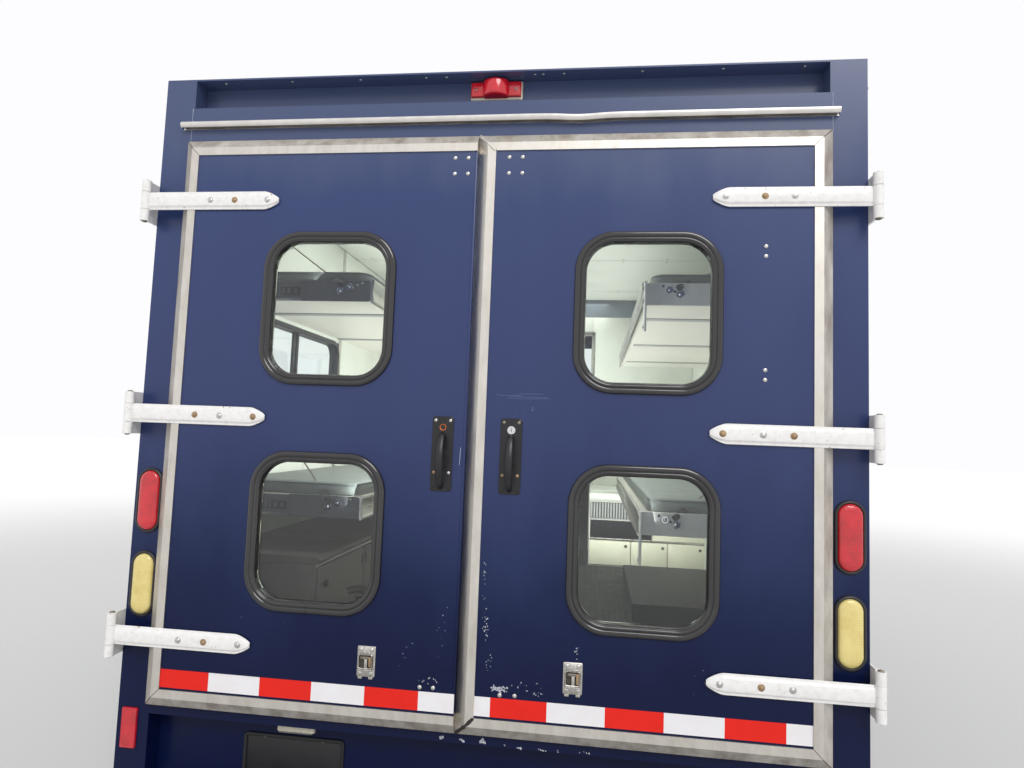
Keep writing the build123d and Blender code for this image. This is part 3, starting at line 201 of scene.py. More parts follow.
def plain(name, colour, roughness, per_metre=40.0, change=0.12, depth=0.0, **sockets):
    """A single-coloured finish with a little change in colour and gloss over its surface."""
    made, tree, shader = finish_of(name, colour, roughness, **sockets)
    cloud = mottle(tree, per_metre)
    base = linear(colour)
    dark = tuple(c * (1 - change) for c in base[:3]) + (1.0,)
    light = tuple(min(1.0, c * (1 + change)) for c in base[:3]) + (1.0,)
    shade = add(tree, "ValToRGB", cloud, stops=((0.3, dark), (0.7, light)))
    rough = add(tree, "MapRange", cloud, 0.25, 0.75, roughness * 0.85, min(1.0, roughness * 1.2),
                interpolation_type="SMOOTHSTEP")
    drive(tree, shader, Base_Color=shade, Roughness=rough)
    if depth:
        grain = add(tree, "Bump", Height=mottle(tree, per_metre * 8, 2.0), Distance=depth * MM)
        drive(tree, shader, Normal=grain)
    return made


def prism(name, colour, deep, roughness):
    """Moulded acrylic with prism ribs inside: a grid of small ridges, 4 mm apart, gives it fine glints
    under a gloss skin, and the thick middle reads deeper in colour."""
    made, tree, shader = finish_of(name, colour, roughness, Coat_Weight=0.8, Coat_Roughness=0.04)
    ridges = []
    for across in axes(tree)[::2]:
        turn = add(tree, "Math", across, math.pi / 0.004, operation="MULTIPLY")
        wave = add(tree, "Math", turn, operation="SINE")
        ridges.append(add(tree, "Math", wave, operation="ABSOLUTE"))
    grid = add(tree, "Math", *ridges, operation="MULTIPLY")
    cloud = add(tree, "Math", mottle(tree, 34.0, 2.0), 0.65, operation="MULTIPLY")
    shade = add(tree, "Math", grid, 0.35, cloud, operation="MULTIPLY_ADD")
    drive(tree, shader, Base_Color=add(tree, "ValToRGB", shade, stops=((0.2, deep), (0.65, colour))),
          Normal=add(tree, "Bump", Height=grid, Distance=0.25 * MM))
    return made


def tape_sheet(name, colour, print_colour):
    """Reflective tape: a smooth plastic face over a fine honeycomb
    of glass beads, so a flat, bright colour with a soft sheen."""
    made, tree, shader = finish_of(name, colour, 0.4, Specular_IOR_Level=0.3)
    comb = add(tree, "TexVoronoi", own_place(tree), 420.0, feature="DISTANCE_TO_EDGE")
    edge = add(tree, "MapRange", comb, 0.02, 0.1, 0.06, 0.0, interpolation_type="SMOOTHSTEP")
    cloud = add(tree, "MapRange", mottle(tree, 18.0, 2.0), 0.35, 0.7, 0.0, 0.1,
                interpolation_type="SMOOTHSTEP")
    amount = add(tree, "Math", edge, cloud, operation="ADD")
    mixed = add(tree, "Mix", amount, linear(colour), linear(print_colour), data_type="RGBA")
    drive(tree, shader, Base_Color=mixed)
    return made


MATERIALS = {
    "navy_enamel": navy_enamel(),
    "satin_aluminium": satin_aluminium(),
    "worn_white_paint": strap_paint(),
    # Extruded rubber: near black with a soft long highlight.
    "black_rubber": plain("rubber, extruded", "#2a2829", 0.42, 30, 0.2, 0.05),
    # Float glass: clear with sharp reflections.
    "clear_glass": finish_of("glass, float", "#f4faf8", 0.0, Transmission_Weight=1.0, IOR=1.45)[0],
    # Powder coat on steel: black with a fine even grain.
    "black_enamel": plain("powder coat on steel", "#17171a", 0.42, 50, 0.2, 0.06),
    # Chassis paint under road film: brown-grey haze on black.
    "chassis_black": plain("chassis paint under road film", "#2b2926", 0.62, 14, 0.35, 0.2),
    # Moulded acrylic lenses: clear coloured body with a gloss skin.
    "red_lens": plain("acrylic lens, red", "#cf1526", 0.16, 30, 0.1, Coat_Weight=0.6),
    "amber_lens": plain("acrylic lens, faded amber", "#e0cf86", 0.2, 30, 0.05, Coat_Weight=0.6),
    "clear_lens": finish_of("acrylic lens, clear", "#f2f4f6", 0.06, Transmission_Weight=0.9, IOR=1.49)[0],
    # Tyre rubber, moulded: dull black with grey dust.
    "tyre_rubber": plain("tyre rubber, moulded", "#232323", 0.78, 18, 0.25, 0.2),
    # Wheel enamel, sprayed: off-white with soft gloss.
    "white_wheel_paint": plain("wheel enamel, sprayed", "#d9d8d3", 0.35, 12, 0.06),
    # Laminate on board: warm white and smooth.
    "cream_laminate": plain("laminate on board", "#dad7cb", 0.45, 5, 0.04),
    # Painted liner sheet: pale grey.
    "grey_liner": plain("liner sheet, painted", "#b9bab6", 0.5, 5, 0.06),
    # Sheet vinyl floor: dark grey and dull.
    "floor_sheet": plain("sheet vinyl, rolled", "#2c2d30", 0.6, 60, 0.2),
    # Seat vinyl, embossed: soft grain.
    "seat_vinyl": plain("vinyl, embossed", "#3b3f48", 0.55, 80, 0.12, 0.2),
    # Cast and welded steel: brown heat stain.
    "cast_steel": plain("cast steel, heat stained", "#5d554d", 0.55, 16, 0.3, 0.3, Metallic=0.8),
    # Galvanised tread plate: dull zinc.
    "galvanised_tread": plain("zinc, hot dipped", "#9a9c9d", 0.45, 35, 0.2, 0.1, Metallic=1.0),
    "prism_red": prism("acrylic prism lens, red", "#de1728", "#a50d1c", 0.2),
    "prism_amber": prism("acrylic prism lens, faded amber", "#eedd92", "#d6bf68", 0.26),
    "tape_white": tape_sheet("reflective tape, white", "#efeef0", "#dcc0c0"),
    "tape_red": tape_sheet("reflective tape, red", "#ea2012", "#c01510"),
    # Aluminium rivets, upset cold: small bright domes.
    "bright_rivet": plain("aluminium, cold headed", "#c9c8c5", 0.3, 200, 0.1, Metallic=1.0),
    # Aluminium rail, drawn and wiped: bright with long streaks.
    "bright_aluminium": plain("aluminium, drawn", "#dedad6", 0.32, 24, 0.08, 0.03, Metallic=1.0),
    # Moulded base of a lamp: off-white plastic, a little yellow.
    "lamp_base": plain("plastic, moulded and yellowed", "#ded8c6", 0.4, 40, 0.06),
    # Old screws: dull zinc with a brown film.
    "dull_screw": plain("steel screw, zinc gone dull", "#8d857a", 0.45, 150, 0.3, Metallic=1.0),
    # Moulded plastic, black: smooth with a soft sheen.
    "moulded_black": plain("plastic, moulded black", "#1b1b1e", 0.35, 60, 0.15, 0.03),
    # Chromed steel: mirror bright with a little pitting.
    "chrome": plain("steel, chromed", "#d6d6d8", 0.12, 300, 0.06, 0.02, Metallic=1.0),
    # Copper-brown bare hole edge.
    "bare_copper": plain("brass, bare and tarnished", "#b5673f", 0.4, 120, 0.2, Metallic=1.0),
    # Rusty bolt heads: brown bloom on zinc.
    "rusty_bolt": plain("steel bolt, rust bloom on zinc", "#a58c6d", 0.55, 110, 0.35, 0.1, Metallic=0.6),
    # Sealant run by hand: dull grey-blue line.
    "sealant": plain("sealant, run by hand", "#8f9aae", 0.6, 90, 0.15, 0.2),
    # Joint filled with road dirt: a soft dark line. The same dark is painted shade inside the catch's cup and
    # behind the cabinet vent's fins.
    "dark_joint": plain("road dirt in joints, painted shade in hollows", "#4b463f", 0.8, 200, 0.3),
    # Laminate sheet on the ceiling and walls: pale, faintly green, with a low sheen.
    "liner_pale": plain("laminate sheet, pale", "#d5d8cd", 0.4, 6, 0.05, 0.02),
    # Trim band of vinyl over the partition: its flat blue-grey is painted shade.
    "dark_band": plain("vinyl trim, blue-grey as painted shade", "#6d757c", 0.6, 20, 0.08),
    # Lamp lens blasted dull: scatters what falls on it.
    "frosted_lens": plain("polycarbonate, frosted", "#c9cdc8", 0.55, 40, 0.05),
    # Anodised window section: dark grey with drawn lines.
    "window_anodised": plain("aluminium, dark anodised", "#4a4c50", 0.38, 60, 0.1, 0.03, Metallic=0.9),
    # Enamelled bracket plate: white with a soft gloss.
    "bracket_white": plain("enamel on steel, white", "#dcdcd6", 0.35, 30, 0.06),
    # Folded steel under grey paint: soft sheen.
    "rack_grey": plain("paint on folded steel, grey", "#9c9f9c", 0.5, 20, 0.08),
    # End sheets of the racks: darker grey hammered paint. On the left bracket plate the same grey is painted
    # shade.
    "rack_end": plain("hammered paint, dark grey", "#64656a", 0.5, 60, 0.12, 0.15),
    # Pad cover of coated cloth: grey-green, soft folds in its gloss.
    "pad_vinyl": plain("coated cloth, welded", "#6f7672", 0.5, 14, 0.12, 0.4),
    # Brown-grey laminate of the low cabinet: matt, with cloudy print.
    "laminate_brown": plain("laminate sheet, brown-grey", "#6a615b", 0.55, 8, 0.14),
    # Cream laminate kick panels, wiped and a little yellow.
    "cream_panel": plain("laminate sheet, yellowed cream", "#d6d6bd", 0.42, 9, 0.06),
    # Moulded rubber of the floor mat: nearly black and dull.
    "mat_rubber": plain("rubber, ribbed and moulded", "#1e1f1f", 0.75, 30, 0.18, 0.1),
    # Pressed bottle in red enamel: high gloss.
    "bottle_red": plain("enamel on a pressed bottle, red", "#c0161c", 0.18, 30, 0.06, Coat_Weight=0.6),
    # Silvered glass: a mirror, a little dark.
    "mirror_glass": plain("glass, silvered", "#c8ced0", 0.02, 4, 0.02, Metallic=1.0),
    # Clear acrylic over reflectors: pale, with prism glints.
    "bar_clear": prism("acrylic prism lens, clear", "#dfe3e4", "#a9afb2", 0.12),
    # Radiator fins: thin dull brass with dust.
    "radiator_fins": plain("brass fins, dusty", "#5b564c", 0.6, 60, 0.25, Metallic=0.6),
    # Window rubber kept dressed: deep black with a wet gloss that draws light along its beads.
    "window_rubber": plain("rubber, extruded and dressed", "#1b181a", 0.17, 20, 0.15, Coat_Weight=0.7),
    # Zinc plate, rubbed: soft bright steel.
    "zinc_plate": plain("zinc plate, rubbed", "#bdb9b3", 0.38, 140, 0.18, Metallic=1.0),
    # Primer bared by stones: flat pale grey.
    "bare_primer": plain("primer, bared by stones", "#b4b8c0", 0.75, 200, 0.15),
    # Enamel scuffed by a strap: the same blue, greyed.
    "scuffed_enamel": plain("enamel, scuffed", "#4d5a83", 0.55, 200, 0.15),
    # Mastic pressed in by hand: nearly black and matt.
    "mastic": plain("mastic, pressed in", "#2e2b2a", 0.8, 200, 0.2, 0.3),
    # Body-coloured sealing strip: duller than the enamel.
    "seal_navy": plain("sealing strip, painted over", "#1d2547", 0.5, 60, 0.15),
}

for part in frame["record"]["subparts"]:
    mesh = frame["nodes"][part["node"]].data
    mesh.materials.clear()
    mesh.materials.append(MATERIALS[part["material_slot"]])


# Stage: camera, floor, light

def place_camera():
    """Turns the fitted pan, tilt and roll into the camera's
    matrix: rows of the rotation are right, down, ahead."""
    ct, st = math.cos(CAMERA_TILT), math.sin(CAMERA_TILT)
    cp, sp = math.cos(CAMERA_PAN), math.sin(CAMERA_PAN)
    cr, sr = math.cos(CAMERA_ROLL), math.sin(CAMERA_ROLL)
    tilt = np.array([[1, 0, 0], [0, ct, -st], [0, st, ct]])
    pan = np.array([[cp, 0, sp], [0, 1, 0], [-sp, 0, cp]])
    roll = np.array([[cr, -sr, 0], [sr, cr, 0], [0, 0, 1]])
    right, down, ahead = [np.array([r[0], r[2], -r[1]]) for r in roll @ tilt @ pan]
    data = bpy.data.cameras.new("camera")
    data.sensor_width = SENSOR_WIDTH
    data.lens = FOCAL_PIXELS / IMAGE_WIDTH * SENSOR_WIDTH
    data.clip_start = 0.05
    camera = bpy.data.objects.new("camera", data)
    camera.matrix_world = Matrix((
        (right[0], -down[0], -ahead[0], CAMERA_PLACE[0]),
        (right[1], -down[1], -ahead[1], CAMERA_PLACE[1]),
        (right[2], -down[2], -ahead[2], CAMERA_PLACE[2]),
        (0, 0, 0, 1)))
    bpy.context.scene.collection.objects.link(camera)
    bpy.context.scene.camera = camera


def place_floor():
    """A pale floor that brightens outwards, ring by ring, into the white surroundings."""
    turns = 48
    turn = np.arange(turns) * 2 * math.pi / turns
    flat = np.stack([np.cos(turn), np.sin(turn), 0 * turn], 1)
    reaches = (1.0, 2.0, 4.0, 7.0, 11.0, 20.0, 60.0)
    points = np.vstack([np.zeros((1, 3))] + [reach * flat for reach in reaches])
    here = np.arange(turns)
    after = (here + 1) % turns
    faces = np.stack([0 * here, 1 + here, 1 + after], 1).tolist()
    for inner in range(1, len(points) - turns, turns):
        faces += (inner + np.stack([here, here + turns, after + turns, after], 1)).tolist()
    mesh = bpy.data.meshes.new("floor_stage")
    mesh.from_pydata(points.tolist(), [], faces)
    made, tree, shader = finish_of("floor, pale and matt", "#dcdcda", 0.6)
    x, y, _ = axes(tree)
    squares = add(tree, "Math", x, x, add(tree, "Math", y, y, operation="MULTIPLY"), operation="MULTIPLY_ADD")
    away = add(tree, "Math", squares, operation="SQRT")
    factor = add(tree, "MapRange", away, 5.0, 13.0, interpolation_type="SMOOTHSTEP")
    mixed = add(tree, "MixShader", factor, shader.outputs["BSDF"], add(tree, "Emission", Strength=1.0))
    drive(tree, tree.nodes["Material Output"], Surface=mixed)
    mesh.materials.append(made)
    piece = bpy.data.objects.new("floor_stage", mesh)
    bpy.context.scene.collection.objects.link(piece)


def place_light():
    """White surroundings with a soft, broad light high behind the camera and to its right."""
    world = bpy.data.worlds.new("surroundings")
    bpy.context.scene.world = world
    world.use_nodes = True
    tree = world.node_tree
    tree.nodes.clear()
    rays = add(tree, "LightPath").node.outputs
    seen = add(tree, "Math", rays["Is Camera Ray"], rays["Is Transmission Ray"], operation="MAXIMUM")
    seen = add(tree, "Math", seen, rays["Is Glossy Ray"], operation="MAXIMUM")
    strength = add(tree, "Math", seen, 0.34, 0.66, operation="MULTIPLY_ADD")
    shade = add(tree, "Background", Color=linear("#fdfdff"), Strength=strength)
    add(tree, "OutputWorld", shade, is_active_output=True)
    data = bpy.data.lights.new("softbox", "SUN")
    data.energy = 1.4
    data.angle = math.radians(28)
    light = bpy.data.objects.new("softbox", data)
    light.rotation_euler = (math.radians(48), 0.0, math.radians(22))
    bpy.context.scene.collection.objects.link(light)


# Soft lamps inside, for the light that the windows let in: place in metres, width and length, turn, and power
INNER_LAMPS = {
    "aisle_down": ((0.0, -1.1, 2.42), (0.8, 2.6), (0.0, 0.0, 0.0), 16.0),
    "aisle_up": ((0.0, -1.1, 1.45), (0.8, 2.6), (math.pi, 0.0, 0.0), 20.0),
    "inside_the_doors": ((-0.3, -2.66, 1.7), (1.2, 0.3), (0.0, -math.pi / 2, math.radians(14)), 5.0),
    "left_upper_rack": ((-0.62, -1.5, 2.14), (0.25, 1.8), (0.0, math.radians(135), 0.0), 5.0),
    "left_lower_rack": ((-0.5, -1.5, 1.4), (0.3, 1.8), (0.0, math.radians(100), 0.0), 9.0),
    "right_lower_rack": ((0.5, -1.5, 1.4), (0.3, 1.8), (0.0, math.radians(-100), 0.0), 4.0),
    "front_cabinets": ((0.5, -0.9, 1.1), (0.8, 0.3), (math.pi / 2, 0.0, 0.0), 4.0),
}


def place_inner_lamps():
    """Each soft lamp is seen by no camera, mirror or pane; only its light is."""
    for name, (place, (width, length), turn, power) in INNER_LAMPS.items():
        data = bpy.data.lights.new(name, "AREA")
        data.shape = "RECTANGLE"
        data.size = width
        data.size_y = length
        data.energy = power
        light = bpy.data.objects.new(name, data)
        light.location = place
        light.rotation_euler = turn
        light.visible_camera = False
        light.visible_glossy = False
        light.visible_transmission = False
        bpy.context.scene.collection.objects.link(light)


bpy.context.scene.view_settings.view_transform = "Standard"
place_camera()
place_floor()
place_light()
place_inner_lamps()

# Piece tools. Every piece is built of closed surfaces: rings of points joined along a path.

class Shell:
    """Collects closed surfaces, each with its material, and writes them as one object."""

    def __init__(self):
        self.points, self.faces, self.kinds, self.materials = [], [], [], []
        self.count = 0

    def rings(self, grid, material, loop=False):
        """Joins rings of points, each closed on itself, one after the other. The first
        and last are closed by a pole in their middle, or joined to each other in a loop.
        The surface is turned so that its normals point outward: its signed volume, the
        sum over the triangles of a . (b x c) / 6, has to come out above zero."""
        grid = np.asarray(grid, float)
        many, around = grid.shape[:2]
        points = grid.reshape(-1, 3)
        here = np.arange(around)
        after = (here + 1) % around
        starts = np.arange(many if loop else many - 1)[:, None] * around
        ends = (starts + around) % (many * around)
        quads = np.stack([starts + here, starts + after, ends + after, ends + here], 2).reshape(-1, 4)
        triangles = np.vstack([quads[:, :3], quads[:, (0, 2, 3)]])
        poles = np.empty((0, 3), int)
        if not loop:
            points = np.vstack([points, grid[0].mean(0), grid[-1].mean(0)])
            first, last = np.full(around, many * around), np.full(around, many * around + 1)
            rim = (many - 1) * around
            poles = np.stack([np.stack([first, after, here], 1),
                              np.stack([last, rim + here, rim + after], 1)], 1)
            poles = poles.reshape(-1, 3)
            triangles = np.vstack([triangles, poles])
        a, b, c = points[triangles.T]
        if np.sum(a * np.cross(b, c)) < 0:
            quads, poles = quads[:, ::-1], poles[:, ::-1]
        if material not in self.materials:
            self.materials.append(material)
        self.kinds += [self.materials.index(material)] * (len(quads) + len(poles))
        self.faces += (quads + self.count).tolist() + (poles + self.count).tolist()
        self.points.append(points)
        self.count += len(points)

    def write(self, name, body, smooth=35.0, slot=None):
        """Makes the object, in place, riding on that body; edges sharper than smooth degrees stay crisp."""
        mesh = bpy.data.meshes.new(name)
        mesh.from_pydata(np.vstack(self.points).tolist(), [], self.faces)
        for material in self.materials:
            mesh.materials.append(MATERIALS[material])
        mesh.polygons.foreach_set("material_index", self.kinds)
        mesh.polygons.foreach_set("use_smooth", [True] * len(self.faces))
        mesh.set_sharp_from_angle(angle=math.radians(smooth))
        mesh.update()
        piece = bpy.data.objects.new(name, mesh)
        bpy.context.scene.collection.objects.link(piece)
        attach(piece, body)
        if slot or self.materials[0] in SLOTS:
            slot or self.materials[0]
        return piece


def circle(radius, count=24, start=0.0):
    """Points (r cos t, r sin t)."""
    turn = np.arange(count) * 2 * math.pi / count + start
    return np.stack([radius * np.cos(turn), radius * np.sin(turn)], 1)


def rounded(width, height, radius, per_corner=8):
    """Outline of a rectangle with quarter circles at its
    corners, anticlockwise from the lower right corner."""
    radius = min(radius, width / 2 - 1e-4, height / 2 - 1e-4)
    corner, step = np.meshgrid(np.arange(4), np.arange(per_corner + 1), indexing="ij")
    turn = np.radians(-90 + 90 * corner + 90 * step / per_corner)
    across = np.array((1, 1, -1, -1))[corner] * (width / 2 - radius) + radius * np.cos(turn)
    up = np.array((-1, 1, 1, -1))[corner] * (height / 2 - radius) + radius * np.sin(turn)
    return np.stack([across.ravel(), up.ravel()], 1)


def spread(x, y, z):
    """Spreads X, Y and Z over one grid of points, in millimetres."""
    return np.stack(np.broadcast_arrays(x, y, z), -1)


def joined(x, y, z):
    """The same grid of points in metres, as Shell wants them."""
    return spread(x, y, z) * MM


def on_rear(outline, x, z, y):
    """Puts a flat outline on the plane y, its first axis along X and its second along Z."""
    return joined(outline[:, 0] + x, y, outline[:, 1] + z)


def on_side(outline, y, z, x):
    """Puts a flat outline on the plane x, its first axis along Y and its second along Z."""
    return joined(x, outline[:, 0] + y, outline[:, 1] + z)


def on_ground(outline, x, y, z):
    """Puts a flat outline on the plane z, its first axis along X and its second along Y."""
    return joined(outline[:, 0] + x, outline[:, 1] + y, z)


def softened(shell, place, wide, tall, corner, levels, material, per_corner=5, drawn=0, loop=False):
    """A raised plate or a frame: rounded outlines, each drawn in by an inset and set at a height by
    place(outline, height). The corner's radius shrinks by drawn times the inset."""
    rows = [place(rounded(wide - 2 * i, tall - 2 * i, corner - drawn * i, per_corner), h) for i, h in levels]
    shell.rings(rows, material, loop)


def oval(count):
    """Cosine and sine round a circle, as two arrays."""
    turn = np.arange(count) * 2 * math.pi / count
    return np.cos(turn), np.sin(turn)


def bulged(value, power):
    """Raises the size of a value to a power and keeps its sign."""
    return np.copysign(np.abs(value) ** power, value)


def turned(shell, centre, axis, profile, material, count=32):
    """Turns a profile of (distance along the axis, radius) about the axis through centre."""
    axis = np.array(axis, float)
    axis /= np.linalg.norm(axis)
    side = np.cross(axis, (0.0, 0.0, 1.0) if abs(axis[2]) < 0.9 else (1.0, 0.0, 0.0))
    side /= np.linalg.norm(side)
    third = np.cross(axis, side)
    rows = []
    for along, radius in profile:
        flat = circle(max(radius, 0.02), count)
        rows.append((np.array(centre) + along * axis + flat[:, :1] * side + flat[:, 1:] * third) * MM)
    shell.rings(rows, material)


def swept(shell, path, profile, material, up=(0, 0, 1), loop=False, twist=None):
    """Carries a closed profile along a path. Its first axis lies across the path and level with it, seen
    along up, and its second along the normal: across = tangent x up, normal = across x tangent."""
    path = np.asarray(path, float)
    profile = np.asarray(profile, float)
    if loop:
        ahead = np.roll(path, -1, 0) - np.roll(path, 1, 0)
    else:
        ahead = np.gradient(path, axis=0)
    ahead /= np.linalg.norm(ahead, axis=1)[:, None]
    across = np.cross(ahead, np.array(up, float))
    across /= np.linalg.norm(across, axis=1)[:, None]
    normal = np.cross(across, ahead)
    scale = np.ones(len(path)) if twist is None else np.asarray(twist)
    flat = profile[None] * scale[:, None, None]
    grid = path[:, None] + flat[:, :, :1] * across[:, None] + flat[:, :, 1:] * normal[:, None]
    shell.rings(grid * MM, material, loop)


def screw_head(shell, x, y, z, radius, height, material, out=(0, -1, 0), washer=0.0):
    """A domed head: the radius falls as the square root of 1
    - h squared up to its crown, on a washer if it has one."""
    foot, base = ([(-0.4, washer), (0.9, washer), (1.2, washer - 0.4), (1.2, radius)], 1.2) if washer else (
        [(-0.4, radius)], 0.0)
    share = np.arange(6) / 5
    crown = np.stack([base + height * share, radius * np.sqrt(1 - share ** 2)], 1)
    turned(shell, (x, y, z), out, np.vstack([foot, crown]), material, 16)


def hex_head(shell, x, y, z, across, height, material, out=(0, -1, 0), washer=0.0):
    """A hexagon bolt head with its corners taken off, on a washer if it has one."""
    if washer:
        turned(shell, (x, y, z), out, ((-0.4, washer), (1.2, washer), (1.6, washer - 0.6)), material, 20)
    radius = across / math.sqrt(3)
    head = ((-0.4, radius), (height * 0.8 + 1.2, radius), (height + 1.2, radius * 0.84))
    turned(shell, (x, y, z), out, head, material, 6)


def box_shell(shell, x, y, z, material, edge=2.0, per_corner=2):
    """A block between two X, two Y and two Z with rounded
    upright edges and its upper and lower rims drawn in."""
    wide, deep = abs(x[1] - x[0]), abs(y[1] - y[0])
    edge = min(edge, wide / 2.5, deep / 2.5, abs(z[1] - z[0]) / 2.5)
    low, high = min(z), max(z)
    rows = []
    for inset, height in ((edge, low), (edge * 0.3, low + edge * 0.3), (0, low + edge),
                          (0, high - edge), (edge * 0.3, high - edge * 0.3), (edge, high)):
        outline = rounded(wide - 2 * inset, deep - 2 * inset, max(edge * 1.4 - inset, 0.1), per_corner)
        rows.append(on_ground(outline, sum(x) / 2, sum(y) / 2, height))
    shell.rings(rows, material)


SLOTS = {row["slot"] for row in frame["record"]["materials"]}
REAR = -2770.0
DOOR_FACE = REAR - 40.0


# Rear face

WINDOW_X = 457.0
WINDOW_Z = (1866.04, 1223.48)
DOOR_SIDES = (("left", -1), ("right", 1))


def gasket(side):
    """Window rubber: its section is a round bead, a groove for the filler
    strip, and a thin lip on the glass, drawn along the rounded outline of
    each window, with a small burr where its ends butt below the middle."""
    shell = Shell()
    section = ((0, 0), (0, 3), (1.2, 6.2), (4, 9), (8, 10), (12, 9.8), (15.5, 8.4), (16.6, 6.8), (17.8, 6.8),
               (19, 8.6), (22, 9), (25.5, 8), (26.8, 6.4), (28, 6.4), (29.2, 5.6), (31.5, 0), (32.6, -10),
               (32.6, -20), (29, -20), (20.6, -2), (14, -1.6), (12, 0))
    for z in WINDOW_Z:
        softened(shell, lambda flat, proud: on_rear(flat, side * WINDOW_X, z, DOOR_FACE - proud), 402,
                 452, 110, section, "window_rubber", 14, drawn=1, loop=True)
        burr = [(side * WINDOW_X - 9, DOOR_FACE - proud - 0.5, z - 226 + inset)
                for inset, proud in section[2:15]]
        swept(shell, burr, circle(0.9, 8), "window_rubber")
    name = "left" if side < 0 else "right"
    piece = shell.write(f"window_rubber_{name}", f"rear_door_{name}", 50.0, "black_rubber")
    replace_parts(piece, f"rear_door_{name}_gaskets")


# Tape blocks in X, from the middle outwards: colour and outer end of each
TAPE_ROWS = {
    "right": (20.0, (("tape_white", 64), ("tape_red", 216), ("tape_white", 369), ("tape_red", 521),
                     ("tape_white", 674), ("tape_red", 826), ("tape_white", 891))),
    "left": (-34.5, (("tape_white", -134), ("tape_red", -286), ("tape_white", -439), ("tape_red", -591),
                     ("tape_white", -744), ("tape_red", -891))),
}
TAPE_Z = (763.5, 814.3)


def tape(name):
    """Reflective tape: each block is a thin sheet whose height over the door is a small sum of waves,
    larger where the photo shows it crinkled."""
    shell = Shell()
    start, blocks = TAPE_ROWS[name]
    for material, end in blocks:
        crinkled = name == "left" and end < -600
        x = np.linspace(start, end, 41 if crinkled else 13)[:, None]
        share = np.linspace(0, 1, 9)
        wave = 0.10 + 0.08 * np.sin(0.11 * x + 5 * share)
        if crinkled:
            wave += 0.55 * np.maximum(0.0, np.sin(14 * share + 0.6 * np.sin(0.05 * x))) ** 3
        face = joined(x, DOOR_FACE - 0.35 - wave, TAPE_Z[0] + (TAPE_Z[1] - TAPE_Z[0]) * share)
        back = joined(x, DOOR_FACE + 0.3, TAPE_Z[::-1])
        shell.rings(np.concatenate([face, back], 1), material)
        start = end
    shell.write(f"reflective_tape_{name}", f"rear_door_{name}", 60.0, "worn_white_paint")


RIVETS = {
    "left": ((-131, 825), (-94, 826), (-59.5, 2309.5), (-97.8, 2309.5), (-59.5, 2262.7), (-97.8, 2262.7)),
    "right": ((59.5, 2309.5), (97.8, 2309.5), (59.5, 2262.7), (97.8, 2262.7), (767, 2051), (767, 2024),
              (767, 1715), (767, 1689), (89, 822), (129.5, 823.5)),
}
LIP_RIVETS = (-860, -640, -420, -213, -150, 118, 142, 204, 432, 660, 884)


def rivets():
    """Round-headed rivets on the doors, and small ones under the lip of the header recess."""
    for name, places in RIVETS.items():
        shell = Shell()
        for x, z in places:
            screw_head(shell, x, DOOR_FACE, z, 6.2, 3.6, "bright_rivet")
        shell.write(f"door_rivets_{name}", f"rear_door_{name}", slot="satin_aluminium")
    shell = Shell()
    for x in LIP_RIVETS:
        screw_head(shell, x, REAR + 22, 2588, 4.6, 2.4, "bright_rivet", (0, 0, -1))
    shell.write("lip_rivets", "van", slot="satin_aluminium")


def drip_rail():
    """Extruded drip rail over the doors: a hooked section
    drawn along a line that a knock has bent a little."""
    shell = Shell()
    section = ((0, -11.5), (0, 11.5), (-5, 11.5), (-14, 10.5), (-20, 7), (-22, 1), (-20, -6), (-17, -9),
               (-14.5, -8), (-17, 0), (-15, 5), (-10, 7.5), (-3.5, 8), (-3.5, -11.5))
    across, level = np.array(section).T
    x = np.linspace(-976, 967, 61)[:, None]
    dent = 5.0 * np.exp(-((x - 255) / 60) ** 2)
    shell.rings(joined(x, REAR + across, 2440.5 + 0.0006 * x - dent + level), "bright_aluminium")
    shell.write("drip_rail", "van", 30.0, "satin_aluminium")


def marker_lamp():
    """Clearance lamp in the recess: a pale base, and over it a lens of two
    flat ears and a raised middle, whose depth falls off from its centre as
    1 - s^2. Every cross-section is a box with softly rounded corners."""
    shell = Shell()
    back = REAR + 60
    low, high = 2529.0, 2585.0
    box_shell(shell, (-80, 80), (back - 12, back), (low - 2, high), "lamp_base", 4)
    ends = (0.45, 0.47, 0.5, 0.53, 0.95, 0.985, 1)
    share = np.array([-s for s in ends[::-1]] + list(np.linspace(-0.42, 0.42, 17)) + list(ends))[:, None]
    raised = np.clip((0.52 - np.abs(share)) / 0.07, 0.0, 1.0)
    swell = 11 + raised * (12 + 15 * np.maximum(0.0, 1 - (share / 0.45) ** 2))
    swell -= 3.0 * np.maximum(0.0, np.abs(share) - 0.95) / 0.05
    half = (high - low) / 2 - 2 - 3 * (1 - raised)
    c, q = oval(40)
    depth = back - 11 - swell * np.maximum(0.0, c) ** 0.3
    shell.rings(joined(76 * share - 1, depth, (low + high) / 2 + half * bulged(q, 0.3)), "red_lens")
    for sign in (-1, 1):
        turned(shell, (sign * 62 - 1, back - 21.5, 2556), (0, -1, 0),
               ((0, 9), (1.6, 9), (1.6, 6), (0.4, 5.5)), "red_lens", 20)
        screw_head(shell, sign * 62 - 1, back - 21.6, 2556, 4.6, 2, "dull_screw")
    return shell


def reflectors(shell):
    """Low reflectors: a flat red block with a bevelled rim, stuck to each post."""
    for side in (-1, 1):
        softened(shell, lambda flat, height: on_rear(flat, side * 1002.5, 626.5, REAR - height), 47, 113, 3,
                 ((0, 0), (0, 5.5), (1.2, 7.4), (3, 7.6), (3.6, 6.8), (8, 6.8)), "prism_red", 3)


LAMP_X = 994.0


